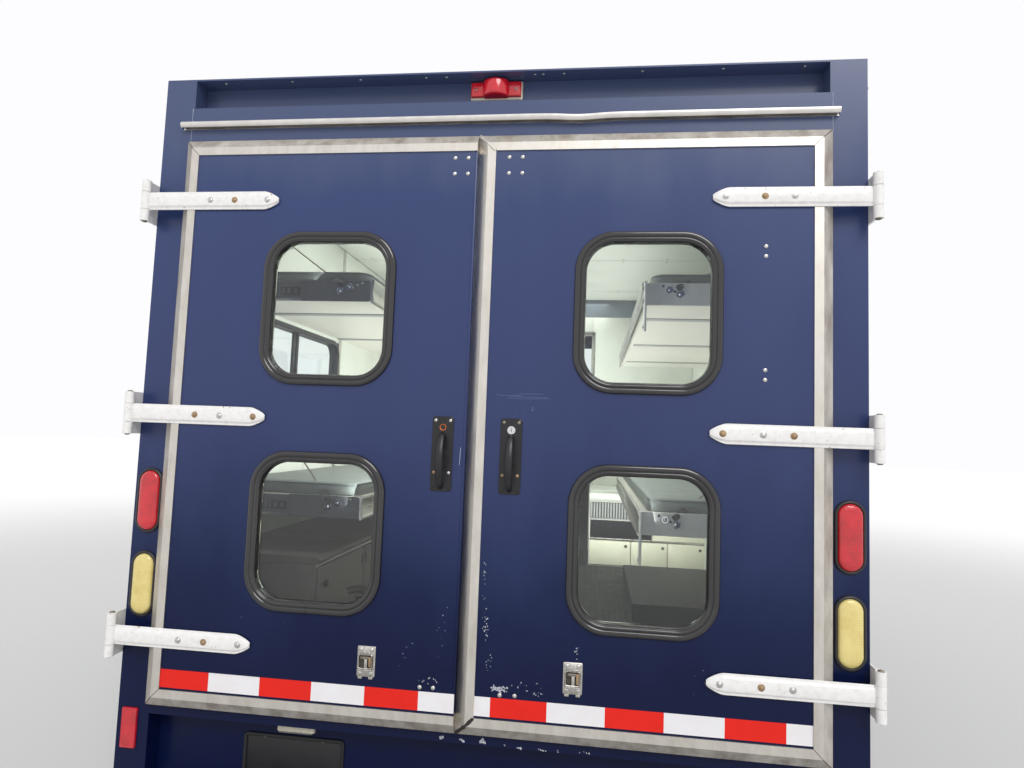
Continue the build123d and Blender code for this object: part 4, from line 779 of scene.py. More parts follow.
def oval_lamps():
    """Stop and turn lamps: the lens is an oval whose height falls off towards its rim as 1 - r^4, and the
    rubber round it is a bead along the same oval."""
    rubber = Shell()
    lenses = {"stop": Shell(), "turn": Shell()}
    for side in (-1, 1):
        for lamp, z, glass in (("stop", 1284.0, "prism_red"), ("turn", 1039.0, "prism_amber")):
            def place(flat, proud):
                return on_rear(flat, side * LAMP_X, z, REAR - proud)

            softened(rubber, place, 81, 193, 40.5, ((0, 0), (0, 2.5), (1.4, 5.8), (4, 7.7), (6.5, 7.9),
                                                    (8.2, 6.6), (9.2, 3), (9.2, -24), (5.4, -24), (5.2, 0)),
                     "black_rubber", 14, drawn=1, loop=True)
            softened(lenses[lamp], place, 66.4, 178.4, 33.2,
                     ((1.2, -24), (1.2, 4), (2.2, 7.0), (4.5, 10.5), (9, 12.8), (16, 13.8), (24, 14.1),
                      (31.5, 14.2)), glass, 14, drawn=1)
    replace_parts(rubber.write("lamp_rubbers", "van", 50.0), "lamp_grommets")
    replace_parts(lenses["stop"].write("stop_lenses", "van", 50.0, "red_lens"), "stop_lamps")
    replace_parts(lenses["turn"].write("turn_lenses", "van", 50.0, "amber_lens"), "turn_lamps")


def plate_frame():
    """Plate frame: a black board inside a rounded moulded rim,
    four screws, and a pale lamp above on a black foot."""
    shell = Shell()
    y = REAR + 60
    x0, x1, z0, z1 = -676.0, -369.0, 482.0, 620.0
    box_shell(shell, (x0 + 4, x1 - 4), (y - 2.2, y), (z0 + 4, z1 - 4), "black_enamel", 1.0)
    rows = []
    for inset, proud in ((0, 0), (0, 4.2), (1.2, 5.6), (6, 5.9), (9, 5.4), (11, 3), (11, 1.6), (11, 0.2)):
        outline = rounded(x1 - x0 - 2 * inset, z1 - z0 - 2 * inset, 14 - inset if inset < 11 else 3, 6)
        rows.append(on_rear(outline, (x0 + x1) / 2, (z0 + z1) / 2, y - proud))
    shell.rings(rows, "moulded_black", loop=True)
    for dx in (-88.9, 88.9):
        for dz in (-60.3, 60.3):
            screw_head(shell, (x0 + x1) / 2 + dx, y - 3, (z0 + z1) / 2 + dz, 5, 2, "dull_screw")
    box_shell(shell, (-569, -456), (y - 20, y), (636, 652), "lamp_base", 4)
    box_shell(shell, (-562, -463), (y - 21.5, y - 4), (634, 637.5), "clear_lens", 1.5)
    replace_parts(shell.write("plate_frame", "van", 40.0, "black_enamel"), "licence_plate")


for side_name, side_sign in DOOR_SIDES:
    gasket(side_sign)
    tape(side_name)
rivets()
drip_rail()
marks = marker_lamp()
reflectors(marks)
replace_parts(marks.write("markers", "van", 40.0, "red_lens"), "rear_markers")
oval_lamps()
plate_frame()


STRAP_Z = (2186.05, 1543.0, 900.95)
BOLT_X = (658.0, 761.0, 838.0)
PIN_X, PIN_Y = 1050.0, REAR - 48.0
STRAP_TIP = 625.0


def straps(name, side):
    """Hinge straps pressed from sheet: the section has two low lips and a raised middle, and its width
    falls off in the last 45 mm as 1 - 0.72 t^1.6 to a blunt point. The barrel turns on the pin."""
    shell = Shell()
    section = np.array(((-27.3, 0), (-27.3, 2.2), (-26.3, 3.2), (-21.5, 3.4), (-19.5, 4.4), (-17, 7.2),
                        (-14.5, 8), (14.5, 8), (17, 7.2), (19.5, 4.4), (21.5, 3.4), (26.3, 3.2), (27.3, 2.2),
                        (27.3, 0)))
    base = REAR - 44.0
    s, h = section.T
    point = STRAP_TIP + 46
    x = np.append(np.linspace(PIN_X - 10, point, 12),
                  STRAP_TIP + 46 * (1 - np.linspace(0.08, 1, 12)))[:, None]
    t = np.maximum(0.0, (point - x) / 46)
    wide = np.where(t < 1, 1 - 0.72 * t ** 1.6, 0.22)
    near_pin = np.clip((PIN_X - 10 - x) / 30, 0.0, 1.0)
    depth = base - h * (1 - 0.35 * t ** 4) * (0.55 + 0.45 * near_pin)
    for z in STRAP_Z:
        shell.rings(joined(side * x, depth, z + s * wide), "worn_white_paint")
        turned(shell, (side * PIN_X, PIN_Y, z - 27), (0, 0, 1),
               ((0, 5.4), (0, 11.8), (1.2, 13), (52.8, 13), (54, 11.8), (54, 5.4)), "worn_white_paint", 28)
        pad = (side * (STRAP_TIP + 52), side * 883.0)
        box_shell(shell, pad, (REAR - 44.5, REAR - 39.5), (z - 13, z + 13), "worn_white_paint", 1.0)
        for number, bolt in enumerate(BOLT_X):
            head = "rusty_bolt" if (number + int(z)) % 2 else "bright_rivet"
            screw_head(shell, side * bolt, base - 7.4, z, 6.6, 3.4, head, washer=9.4)
    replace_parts(shell.write(f"hinge_straps_{name}", f"rear_door_{name}", 40.0), f"rear_door_{name}_straps")


def hinge_ends():
    """Domed ends of the hinge pins, and three countersunk screws in each leaf on the body's side."""
    shell = Shell()
    for side in (-1, 1):
        for z in STRAP_Z:
            for end in (-1, 1):
                screw_head(shell, side * PIN_X, PIN_Y, z + end * 62, 8.5, 4.5, "dull_screw", (0, 0, end))
            for dz in (-42, 0, 42):
                screw_head(shell, side * 1049, REAR + 42, z + dz, 7, 2.2, "rusty_bolt", (side, 0, 0))
    shell.write("hinge_pin_ends", "van", slot="worn_white_paint")


HANDLE_X = {"left": -98.0, "right": 94.5}
CATCH_X = {"left": -284.5, "right": 282.5}


def fittings(name):
    """Pull handle and hold-back catch. The grip's middle line stands off as the
    root of a sine, and its oval section is fullest in the middle; the catch is
    a pressed cup round a hooked tongue, over a lip, on a riveted plate."""
    shell = Shell()
    x = HANDLE_X[name]
    softened(shell, lambda flat, height: on_rear(flat, x, 1459.5, DOOR_FACE - height), 60, 207, 7,
             ((0, -0.3), (0, 2.2), (0.8, 3.0), (24, 3.0)), "black_enamel", 4)
    t = np.linspace(0, 1, 33)[:, None]
    c, q = oval(20)
    stand = np.sin(math.pi * t)
    slope = np.cos(math.pi * t)
    rise = (6.4 - 0.6 * t) * q
    depth = DOOR_FACE - 3 - 35 * stand ** 0.42 - rise * (1 - np.abs(slope) ** 3)
    shell.rings(joined(x + (8.6 + 2.6 * stand - 1.6 * t) * bulged(c, 0.8), depth,
                       1511 - 142 * t + rise * slope ** 3 * 1.4), "moulded_black")
    for dx in (-21, 21):
        screw_head(shell, x + dx, DOOR_FACE - 3, 1552, 4.6, 2.2,
                   "bright_rivet" if name == "left" else "dull_screw")
        kind = "bright_rivet" if name == "left" and dx > 0 else "rusty_bolt"
        screw_head(shell, x + dx, DOOR_FACE - 3, 1407, 4.6, 2.2, kind)
    if name == "right":
        turned(shell, (x, DOOR_FACE - 2.6, 1531), (0, -1, 0),
               ((0, 11.5), (2.6, 11.5), (3.6, 10.4), (3.6, 8.8), (3.0, 8.4), (3.0, 2)), "chrome", 28)
        box_shell(shell, (x - 1.0, x + 1.0), (DOOR_FACE - 6.0, DOOR_FACE - 4), (1526, 1536),
                  "moulded_black", 0.4)
    else:
        turned(shell, (x, DOOR_FACE - 2.6, 1533), (0, -1, 0),
               ((0.2, 9.5), (1.4, 9.5), (1.6, 8.6), (0.9, 7.2), (0.7, 7)), "bare_copper", 24)
        turned(shell, (x, DOOR_FACE - 2.6, 1533), (0, -1, 0), ((0.2, 6.8), (0.9, 6.6), (0.9, 1)),
               "moulded_black", 20)

    x = CATCH_X[name]
    softened(shell, lambda flat, height: on_rear(flat, x, 882, DOOR_FACE - height), 51, 82, 3,
             ((0, -0.3), (0, 2.0), (0.8, 2.8), (20, 2.8)), "zinc_plate", 3)
    softened(shell, lambda flat, height: on_rear(flat, x, 884, DOOR_FACE - height), 42, 40, 5,
             ((0, 2), (0, 11), (1.5, 13), (3, 12), (3.4, 3.2), (5, 2)), "zinc_plate", 4, loop=True)
    # Painted shade: a dark block fills the cup's hollow round the tongue.
    box_shell(shell, (x - 17, x + 17), (DOOR_FACE - 4, DOOR_FACE - 2), (867, 901), "dark_joint", 0.5)
    box_shell(shell, (x - 14, x + 11), (DOOR_FACE - 12, DOOR_FACE - 7), (890, 898), "dull_screw", 1.2)
    box_shell(shell, (x - 3, x + 6), (DOOR_FACE - 12, DOOR_FACE - 7), (866, 893), "zinc_plate", 1.2)
    box_shell(shell, (x + 9, x + 17), (DOOR_FACE - 13, DOOR_FACE - 3), (870, 897), "rusty_bolt", 1.5)
    box_shell(shell, (x - 21, x + 21), (DOOR_FACE - 17, DOOR_FACE - 2), (861, 865), "zinc_plate", 1.2)
    for dx in (-15, 15):
        box_shell(shell, (x + dx - 6, x + dx + 6), (DOOR_FACE - 6, DOOR_FACE + 0.3), (836, 843),
                  "zinc_plate", 1.0)
        for z in (852, 914):
            screw_head(shell, x + dx, DOOR_FACE - 2.8, z, 6.2, 3.2, "bright_rivet")
    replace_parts(shell.write(f"handle_and_catch_{name}", f"rear_door_{name}", 40.0, "black_enamel"),
                f"rear_door_{name}_fittings")


def trim_joints(name, side):
    """Mitre joints of the edge trim: a dark line across bevel and flange at each outer corner, and by the
    middle a ridge of weld above and a gap packed with mastic below. The left door's free edge carries a
    navy seal, flush with its face, and end caps that close its trims to the middle one."""
    shell = Shell()
    corners = [(side * 945.0, -side, 2383.0, -1, 0.75, "dark_joint"),
               (side * 945.0, -side, 704.0, 1, 0.75, "dark_joint")]
    if name == "right":
        corners += [(-33.0, 1, 2383.0, -1, 4.2, "satin_aluminium"), (-33.0, 1, 704.0, 1, 3.4, "mastic")]
    profile = np.array(((0.6, 20.5), (10, 28.3), (20, 36.3), (29.4, 43.9), (31, 44.15), (42, 44.15),
                        (53.4, 44.15)))
    inset, proud = profile[:, :1], profile[:, 1:]
    lean, crest = np.array((-1, 1, 0.5, -0.5)), np.array((False, False, True, True))
    for x, inward, z, up, half, material in corners:
        wander = 0.25 * np.sin(2.7 * np.arange(len(profile)))[:, None] if half > 1 else 0.0
        wide = half * (1 + wander)
        ridge = 0.3 + 0.45 * wide if half > 1 else 0.3
        shell.rings(joined(x + inward * inset + lean * wide, REAR - proud + np.where(crest, -ridge, 0.5),
                           z + up * inset - lean * wide * up * inward), material)
    if name == "left":
        box_shell(shell, (-40.1, -33.8), (REAR - 39.8, REAR - 8), (757, 2330), "navy_enamel", 0.8)
        for z, up in ((704.0, 1), (2383.0, -1)):
            inset, proud = np.array(((0.6, 18), (0.6, 20.5), (29.4, 43.9), (53.4, 43.9), (53.4, 18))).T
            shell.rings(joined(np.array(((-40.2,), (-33.8,))), REAR - proud, z + up * inset),
                        "satin_aluminium")
    shell.write(f"trim_joints_{name}", f"rear_door_{name}", 25.0, "satin_aluminium")


# Stone chips: middle x and z, spread in x and z, how many, and their mean radius
CHIPS = {
    "rear_door_right": ((36, 1140, 6, 90, 18, 1.0), (44, 1000, 11, 60, 26, 1.2), (60, 905, 22, 34, 10, 1.1),
                        (86, 838, 34, 9, 46, 2.0), (190, 832, 22, 8, 9, 1.7), (150, 850, 60, 14, 8, 1.1),
                        (290, 955, 9, 26, 7, 1.3), (120, 1580, 60, 60, 5, 0.8), (700, 900, 160, 90, 8, 0.8)),
    "rear_door_left": ((-104, 846, 34, 14, 9, 1.5), (-80, 960, 22, 120, 9, 0.9), (-190, 905, 40, 60, 5, 0.9),
                       (-600, 1000, 200, 160, 6, 0.7)),
    "van": ((-74, 681, 5, 3, 5, 3.0), (43, 681, 7, 5, 7, 3.4), (101, 676, 4, 3, 2, 2.0),
            (143, 673, 8, 2, 4, 2.2), (206, 673, 16, 3, 8, 1.9), (246, 674, 6, 3, 3, 1.6),
            (330, 676, 60, 4, 6, 1.4), (-17, 679, 8, 4, 3, 3.0)),
}


def chips(body, seed):
    """Chips in the enamel down to the primer: each is a low flake of uneven outline, r (0.55 + 0.7 u) for a
    random u, and they lie in clusters about their middles."""
    shell = Shell()
    dice = np.random.default_rng(seed)
    face = REAR if body == "van" else DOOR_FACE
    for x, z, wide, tall, count, radius in CHIPS[body]:
        for _ in range(count):
            place = (x + wide * dice.uniform(-1, 1) * dice.uniform(0.2, 1),
                     z + tall * dice.uniform(-1, 1) * dice.uniform(0.2, 1))
            turn, long = dice.uniform(0, math.pi), dice.uniform(1.0, 2.2)
            reach = radius * dice.uniform(0.5, 1.3) * (0.55 + 0.7 * dice.random(8))
            angles = np.linspace(0, 2 * math.pi, 9)[:-1]
            flat = np.stack([reach * long * np.cos(angles), reach * np.sin(angles)], 1)
            flat = flat @ np.array(((math.cos(turn), math.sin(turn)), (-math.sin(turn), math.cos(turn))))
            rows = [on_rear(flat * share, *place, face - high)
                    for share, high in ((1, -0.2), (1, 0.12), (0.5, 0.2))]
            shell.rings(rows, "bare_primer")
    if body == "rear_door_right":
        for k, (x0, x1, z) in enumerate(((62, 190, 1625.5), (80, 200, 1621), (48, 120, 1629),
                                         (110, 178, 1632))):
            path = [(x, face + 0.05, z + 1.6 * math.sin(0.03 * x + k)) for x in np.linspace(x0, x1, 12)]
            swept(shell, path, rounded(0.3, 1.5, 0.1, 2), "scuffed_enamel")
    if body == "rear_door_left":
        swept(shell, [(-46 - 0.3 * k, face + 0.05, 1478 - 8 * k) for k in range(7)],
              rounded(0.3, 1.3, 0.1, 2), "bare_primer")
    shell.write(f"stone_chips_{body}", body, 30.0, "worn_white_paint")


def seams():
    """Hand-run sealant in the header's vertical joints and along the foot of the recess, as a low bead
    whose width wanders a little."""
    shell = Shell()
    t = np.linspace(0, 1, 15)[:, None]
    for x in (-951, 952):
        half = 1.5 + 0.6 * np.sin(9 * t + x)
        shell.rings(joined(x + half * np.array((-1, -0.5, 0.5, 1)), REAR + np.array((0.3, -0.7, -0.7, 0.3)),
                           2386 + 113 * t), "sealant")
    t = np.linspace(0, 1, 60)[:, None]
    half = 1.4 + 0.5 * np.sin(60 * t)
    shell.rings(joined(-944 + 1888 * t,
                       REAR + np.array((59.6, 59.6, 59.6, 60.4)) - half * np.array((0, 2.2, 1, 0)),
                       2499.4 + np.array((-0.6, -0.3, 0, 0)) + half * np.array((0, 0, 1, 2))), "seal_navy")
    shell.write("header_sealant", "van", 60.0, "navy_enamel")


for side_name, side_sign in DOOR_SIDES:
    straps(side_name, side_sign)
    fittings(side_name)
    trim_joints(side_name, side_sign)
for number, body_name in enumerate(CHIPS):
    chips(body_name, 11 + number)
hinge_ends()
seams()


# Load space

RACK_Z = (1210.0, 1975.0)
RACK_FACE, RACK_THICK, RACK_BACK, RACK_FRONT = 480.0, 70.0, -2380.0, -420.0
WALL_IN, WALL_OUT = 1003.0, 1043.0
FLOOR, CEILING = 740.0, 2455.0


def ceiling_liner():
    """Ceiling liner: pale sheets with rolled edges between the walls, dished by 2 mm as 1 - s^4, with dull
    screws in rows, and round lamps whose lens is a low cap of an ellipsoid."""
    shell = Shell()
    wide = 2 * WALL_IN - 8
    for back, front in ((-2660, -1930), (-1922, -1190), (-1182, -450), (-442, 92)):
        long, middle = front - back, (back + front) / 2
        rows = [on_ground(rounded(wide - 2 * inset, long - 2 * inset, 8, 2), 0, middle, CEILING - drop)
                for drop, inset in ((0, 0), (5, 0), (7, 2))]
        rows += [on_ground(rounded(wide * share, long * share, 8, 2), 0, middle,
                           CEILING - 7 - 2.0 * (1 - share ** 4))
                 for share in (0.75, 0.5, 0.25)]
        shell.rings(rows, "liner_pale")
        for x in range(-900, 901, 225):
            for y in (back + 24, front - 24):
                screw_head(shell, x, y, CEILING - 6.8, 5.5, 2.2, "dull_screw", (0, 0, -1))
    for x, y in ((786, -775), (-786, -775), (540, -2250), (-540, -2250)):
        turned(shell, (x, y, CEILING - 6), (0, 0, -1), ((0, 76), (12, 76), (16, 73), (17, 68)),
               "rack_grey", 40)
        cap = [(16 + 20 * math.sin(t), 66 * math.cos(t)) for t in np.linspace(0.0, math.pi / 2, 9)]
        turned(shell, (x, y, CEILING - 6), (0, 0, -1), cap, "frosted_lens", 40)
    shell.write("ceiling_liner", "van", 30.0, "cream_laminate")


# Wall sheets: Y from and to, Z from and to; they leave the side windows and the wheel boxes free
SHEET_LOW, SHEET_TOP = FLOOR + 2, CEILING - 8
OVER_WHEELS, WINDOW_LOW, WINDOW_HIGH = 826.0, 1545.0, 1955.0
LINER_SHEETS = (
    (-2650, -2345, SHEET_LOW, SHEET_TOP), (-2345, -1712, SHEET_LOW, WINDOW_LOW),
    (-1712, -1358, OVER_WHEELS, WINDOW_LOW), (-2345, -1358, WINDOW_HIGH, SHEET_TOP),
    (-1358, -822, OVER_WHEELS, SHEET_TOP), (-822, -700, SHEET_LOW, SHEET_TOP),
    (-700, 92, SHEET_LOW, SHEET_TOP),
)


def wall_liner():
    """Wall liner of laminate in upright sheets, under metal cover strips with a low rounded section, on both
    walls and the front bulkhead, and a band across the ceiling before the bulkhead, coloured blue-grey as
    painted shade."""
    shell = Shell()
    for side in (-1, 1):
        for back, front, low, high in LINER_SHEETS:
            box_shell(shell, (side * WALL_IN, side * (WALL_IN - 4)), (back + 1, front - 1), (low, high),
                      "liner_pale", 1.0)
        for y, low in ((-2650, SHEET_LOW), (-1358, OVER_WHEELS), (-700, SHEET_LOW)):
            box_shell(shell, (side * (WALL_IN - 3.5), side * (WALL_IN - 7)), (y - 14, y + 14),
                      (low, SHEET_TOP), "bright_aluminium", 1.5)
    for low, x0, x1 in ((1184, 304, 1000), (SHEET_LOW, -1000, -304), (2262, -303, 303)):
        box_shell(shell, (x0, x1), (96.5, 100), (low, SHEET_TOP), "liner_pale", 1.0)
    for x, low in ((304, 1184), (-304, SHEET_LOW)):
        box_shell(shell, (x - 12, x + 12), (92.5, 97), (low, 2262), "bright_aluminium", 1.5)
    box_shell(shell, (-316, 316), (92.5, 97), (2250, 2274), "bright_aluminium", 1.5)
    # The ceiling band's blue-grey is painted shade.
    box_shell(shell, (-1000, 1000), (-190, -170), (2330, CEILING - 6), "dark_band", 2.0)
    shell.write("wall_liner", "van", 30.0, "cream_laminate")


def window_frames():
    """Frames of the side windows, inside and out: an extruded section drawn round the opening's rounded
    outline, the two posts where the panes slide past one another, and a small catch."""
    shell = Shell()
    section = ((-22, -0.5), (-22, 2.5), (-20, 4.5), (-8, 7.5), (0, 7.5), (3, 5), (3, -14), (0, -14), (0, -1))
    for side in (-1, 1):
        for face, out in ((WALL_OUT, 1), (WALL_IN, -1)):
            softened(shell, lambda flat, proud: on_side(flat, -1850, 1750, side * (face + out * proud)),
                     960, 380, 60, section, "window_anodised", 8, drawn=1, loop=True)
        for y in (-1840, -1806):
            box_shell(shell, (side * 1029, side * 1014), (y - 11, y + 11), (1562, 1938),
                      "window_anodised", 2.5)
        box_shell(shell, (side * 1014, side * 1004), (-1832, -1814), (1720, 1780), "moulded_black", 3)
    shell.write("side_window_frames", "van", 30.0, "black_enamel")


def bracket(shell, side, z):
    """End bracket of a rack: a pressed plate with a folded foot, holes, a domed pivot bolt, and its strut,
    whose sleeve is thicker than the rod that leaves it for the wall."""
    y = RACK_BACK - 2
    # Painted shade: the left plate takes the darker end-sheet grey while the right one stays white, as if lit
    # from one side only.
    softened(shell, lambda flat, d: on_rear(flat, side * 612, z + RACK_THICK / 2, y - d), 260, 76, 8,
             ((0, 0), (0, 3.2), (0.9, 4.1)), "bracket_white" if side > 0 else "rack_end", 3, drawn=1)
    if side > 0:
        box_shell(shell, (476, 484), (y - 30, y), (z - 96, z + 74), "bracket_white", 1.2)
        for dz in (-80, 10, 56):
            screw_head(shell, 476, y - 15, z + dz, 6, 3, "bright_rivet", (-1, 0, 0), washer=9)
        for x, dz in ((540, 62), (578, 44)):
            turned(shell, (x, y - 3.6, z + dz), (0, -1, 0), ((0, 4.5), (0.9, 4.5), (0.9, 1)),
                   "moulded_black", 14)
    else:
        for x, dz in ((549, 47), (531, 56), (513, 63)):
            screw_head(shell, -x, y - 3.6, z + dz, 4.6, 3, "bright_rivet")
    for x, dz, radius in ((560, 50, 12), (596, 36, 14)):
        turned(shell, (side * x, y - 3.6, z + dz), (0, -1, 0),
               ((0, radius), (2, radius), (3, radius - 1), (3, radius - 5), (5.5, radius - 6),
                (7.5, radius - 10), (7.5, 1)), "chrome", 28)
    start = np.array((side * 588.0, y - 9, z + 55))
    end = np.array((side * 985.0, y + 395, z + 315))
    along = (end - start) / np.linalg.norm(end - start)
    turned(shell, start, along, ((0, 6), (0, 10), (3, 11), (60, 11), (65, 7), (65, 4)), "moulded_black", 18)
    turned(shell, start + 60 * along, along, ((0, 3), (np.linalg.norm(end - start) - 60, 3)),
           "dull_screw", 12)
    turned(shell, end, (side, 0, 0), ((-4, 16), (0, 17), (18, 17), (18, 6)), "chrome", 24)


def racks():
    """Litter racks: an edge rail of extruded section with rolled lips along each slab, rivets along the
    rail, cross bars below, and brackets with struts at the rear ends."""
    shell = Shell()
    for side in (-1, 1):
        for z in RACK_Z:
            top, low = z + RACK_THICK, z
            u, v = np.array(((0, low - 7), (-4, low - 8), (-9, low - 5), (-10, low + 2), (-6, low + 8),
                             (-6, top - 8), (-10, top - 2), (-9, top + 6), (-4, top + 8), (0.5, top + 6),
                             (0.5, low - 2))).T
            y = np.array((RACK_BACK - 1, RACK_BACK + 6, RACK_FRONT - 7, RACK_FRONT))[:, None]
            shell.rings(joined(side * (RACK_FACE + u), y, v), "bright_aluminium")
            for k in range(12):
                screw_head(shell, side * (RACK_FACE - 6), RACK_BACK + 80 + k * 160, z + RACK_THICK / 2,
                           5, 2.4, "bright_rivet", (-side, 0, 0))
            bracket(shell, side, z)
            for y in (-2100, -1400, -700):
                box_shell(shell, (side * 500, side * 990), (y - 22, y + 22), (z - 3.5, z + 0.5),
                          "rack_grey", 1.5)
    shell.write("rack_fittings", "van", 35.0, "cream_laminate")


def pads():
    """Pads on the racks: a filled cover whose sides bulge as 1 - t^2 and whose top rises by 14 mm times 1 -
    s^4 towards the middle, piped along both rims."""
    for side, name in ((-1, "left"), (1, "right")):
        for z, level in zip(RACK_Z, ("lower", "upper")):
            shell = Shell()
            bottom, wide, long = z + RACK_THICK, 470.0, 1880.0
            middle = (side * 748, (RACK_BACK + RACK_FRONT) / 2)
            levels = [(wide * s, long * s, 30, 1) for s in (0.25, 0.5, 0.75, 0.9)]
            for t in np.linspace(-1, 1, 9):
                bulge = 9 * (1 - t * t)
                levels.append((wide + 2 * bulge, long + 2 * bulge, 40 + bulge, 22 + 20 * t))
            levels += [(wide * s, long * s, 36, 44 + 14 * (1 - s ** 4)) for s in (0.97, 0.9, 0.75, 0.5, 0.25)]
            shell.rings([on_ground(rounded(width, length, corner, 6), *middle, bottom + lift)
                         for width, length, corner, lift in levels], "pad_vinyl")
            for lift in (6, 40):
                path = on_ground(rounded(wide + 8, long + 8, 42, 8), *middle, bottom + lift) / MM
                swept(shell, path, circle(3.2, 8), "pad_vinyl", loop=True)
            piece = shell.write(f"rack_pad_{name}_{level}", "van", 50.0, "seat_vinyl")


ceiling_liner()
wall_liner()
window_frames()
racks()
pads()


def counter():
    """Low cabinet on the left: four doors with drawn-in edges, a knob and a hinge pair each, and a worktop
    whose front edge is a half round."""
    shell = Shell()
    face, back, front, top = -600.0, -2450.0, -700.0, 1060.0
    width = (front - back) / 4
    for number in range(4):
        start = back + number * width + 6
        box_shell(shell, (face - 1, face + 17), (start, start + width - 12), (782, 1046),
                  "laminate_brown", 2.0)
        knob = start + (width - 40 if number % 2 else 28)
        turned(shell, (face + 17, knob, 990), (1, 0, 0),
               ((0, 7), (8, 6), (10, 13), (16, 14), (20, 10), (20.5, 2)), "moulded_black", 20)
        for z in (820, 1004):
            hinge = start + (14 if number % 2 else width - 26)
            turned(shell, (face + 18, hinge, z - 20), (0, 0, 1), ((0, 3.6), (40, 3.6)), "chrome", 12)
    box_shell(shell, (-1000, -598), (back - 6, back), (744, 1058), "laminate_brown", 1.5)
    nose = [(face + 8 + 13 * math.cos(t), top + 13 + 13 * math.sin(t)) for t in np.linspace(-1.5, 1.5, 9)]
    x, z = np.array([(face - 402, top), (face + 8, top), *nose, (face + 8, top + 26),
                     (face - 402, top + 26)]).T
    y = np.array((back - 14, back - 13, front + 9, front + 10))[:, None]
    shell.rings(joined(x, y, z), "laminate_brown")
    shell.write("counter_doors", "van", 35.0, "cream_laminate")


def front_unit():
    """Cabinet beside the doorway: a cream kick panel with catches, a dark air intake behind bars, a vent with
    upright fins whose edges are rounded, over a dark sheet of painted shade, and a pale nosing along the top."""
    shell = Shell()
    face, x0, x1 = -480.0, 312.0, 1000.0
    for start, end in ((x0 + 2, 560), (566, 780), (786, x1)):
        box_shell(shell, (start, end), (face - 16, face + 1), (752, 896), "cream_panel", 2.0)
        turned(shell, (end - 26, face - 16, 868), (0, -1, 0), ((0, 9), (4, 8), (5, 5), (5, 1)),
               "dull_screw", 18)
    box_shell(shell, (x0 + 2, x1), (face - 14, face + 1), (900, 906), "bright_aluminium", 1.0)
    box_shell(shell, (x0 + 4, 690), (face - 2, face + 1), (910, 1018), "moulded_black", 0.5)
    for x in range(350, 690, 56):
        box_shell(shell, (x - 3, x + 3), (face - 9, face - 4), (908, 1020), "moulded_black", 1.0)
    box_shell(shell, (x0 + 2, x1), (face - 4, face + 1), (1022, 1030), "rack_grey", 1.0)
    # Painted shade: a dark sheet behind the fins stands for the vent's hollow.
    box_shell(shell, (x0 + 2, x1), (face - 2, face + 1), (1030, 1126), "dark_joint", 0.5)
    for x in range(322, 690, 17):
        box_shell(shell, (x - 5.5, x + 5.5), (face - 13, face - 1), (1032, 1124), "rack_grey", 2.4)
    box_shell(shell, (696, x1), (face - 9, face + 1), (910, 1126), "cream_panel", 2.0)
    nose = [(face - 6 + 26 * math.cos(t), 1158 + 26 * math.sin(t))
            for t in np.linspace(math.pi / 2, 3 * math.pi / 2, 11)]
    y, z = np.array([(face + 60, 1182), *nose, (face + 2, 1132), (face + 2, 1181)]).T
    shell.rings(joined(np.array((x0 - 4, x0 - 3, x1 - 1, x1))[:, None], y, z), "liner_pale")
    box_shell(shell, (x0 - 4, x1), (face + 50, 94), (1180, 1190), "liner_pale", 3)
    box_shell(shell, (x0 - 3, x0 + 1), (face + 2, 94), (744, 1178), "liner_pale", 1)
    shell.write("front_cabinet_face", "van", 35.0, "cream_laminate")


def floor_mat():
    """Ribbed rubber mat on the floor: its height follows a squared sine across the width, 3 mm deep and 24
    mm apart, with a bevelled rim."""
    shell = Shell()
    base, under = FLOOR + 0.5, FLOOR + 0.2
    ribs = np.linspace(-590.0, 590.0, 393)
    height = 3.5 + 3.0 * np.sin(np.pi * (ribs + 590.0) / 24.0) ** 2
    height[0] = height[-1] = 0.5
    plain_part = np.linspace(-290.0, 290.0, 25)
    for x, up, ends in ((ribs, height, ((-2640, 0.15), (-2628, 1.0), (-512, 1.0), (-500, 0.15))),
                        (plain_part, np.full(25, 4.0), ((-490, 0.2), (-478, 1.0), (80, 1.0), (92, 0.2)))):
        y, lift = np.array(ends)[:, :1], np.array(ends)[:, 1:]
        top = joined(x, y, base + up * lift)
        shell.rings(np.concatenate([top, joined(x[[-1, 0]], y, under)], 1), "mat_rubber")
    shell.write("floor_mat", "van", 60.0, "floor_sheet")


def extinguisher():
    """Small fire extinguisher clipped to the floor: a turned bottle with an elliptical shoulder, a valve, a
    black grip like a flattened bow, and a hose."""
    shell = Shell()
    x, y, z = -500.0, -2290.0, 744.0
    profile = [(0, 30), (3, 36), (8, 38), (128, 38)]
    profile += [(128 + 24 * math.sin(t), 12 + 26 * math.cos(t)) for t in np.linspace(0.2, math.pi / 2, 7)]
    turned(shell, (x, y, z), (0, 0, 1), profile + [(160, 11), (160, 8)], "bottle_red", 36)
    turned(shell, (x, y, z + 158), (0, 0, 1), ((0, 10), (14, 10), (16, 14), (22, 14), (24, 8)), "chrome", 20)
    t = np.linspace(0, 1, 15)
    for lift, reach in ((188, 34), (204, 38)):
        bow = spread(x - reach + 2 * reach * t, y, z + lift + 7 * np.sin(math.pi * t))
        swept(shell, bow, rounded(26, 9, 4, 3), "moulded_black")
    t = np.linspace(0, 3.0, 20)
    hose = spread(x + 12 + 34 * np.sin(t), y - 10, z + 176 - 38 * t)
    swept(shell, hose, circle(5, 10), "moulded_black", up=(0, 1, 0))
    turned(shell, (x, y, z + 60), (0, 0, 1), ((0, 38.2), (0, 40), (18, 40), (18, 38.2)), "rack_grey", 36)
    box_shell(shell, (x - 100, x - 36), (y - 10, y + 10), (z + 62, z + 76), "rack_grey", 2)
    shell.write("fire_extinguisher", "van", 40.0, "red_lens")


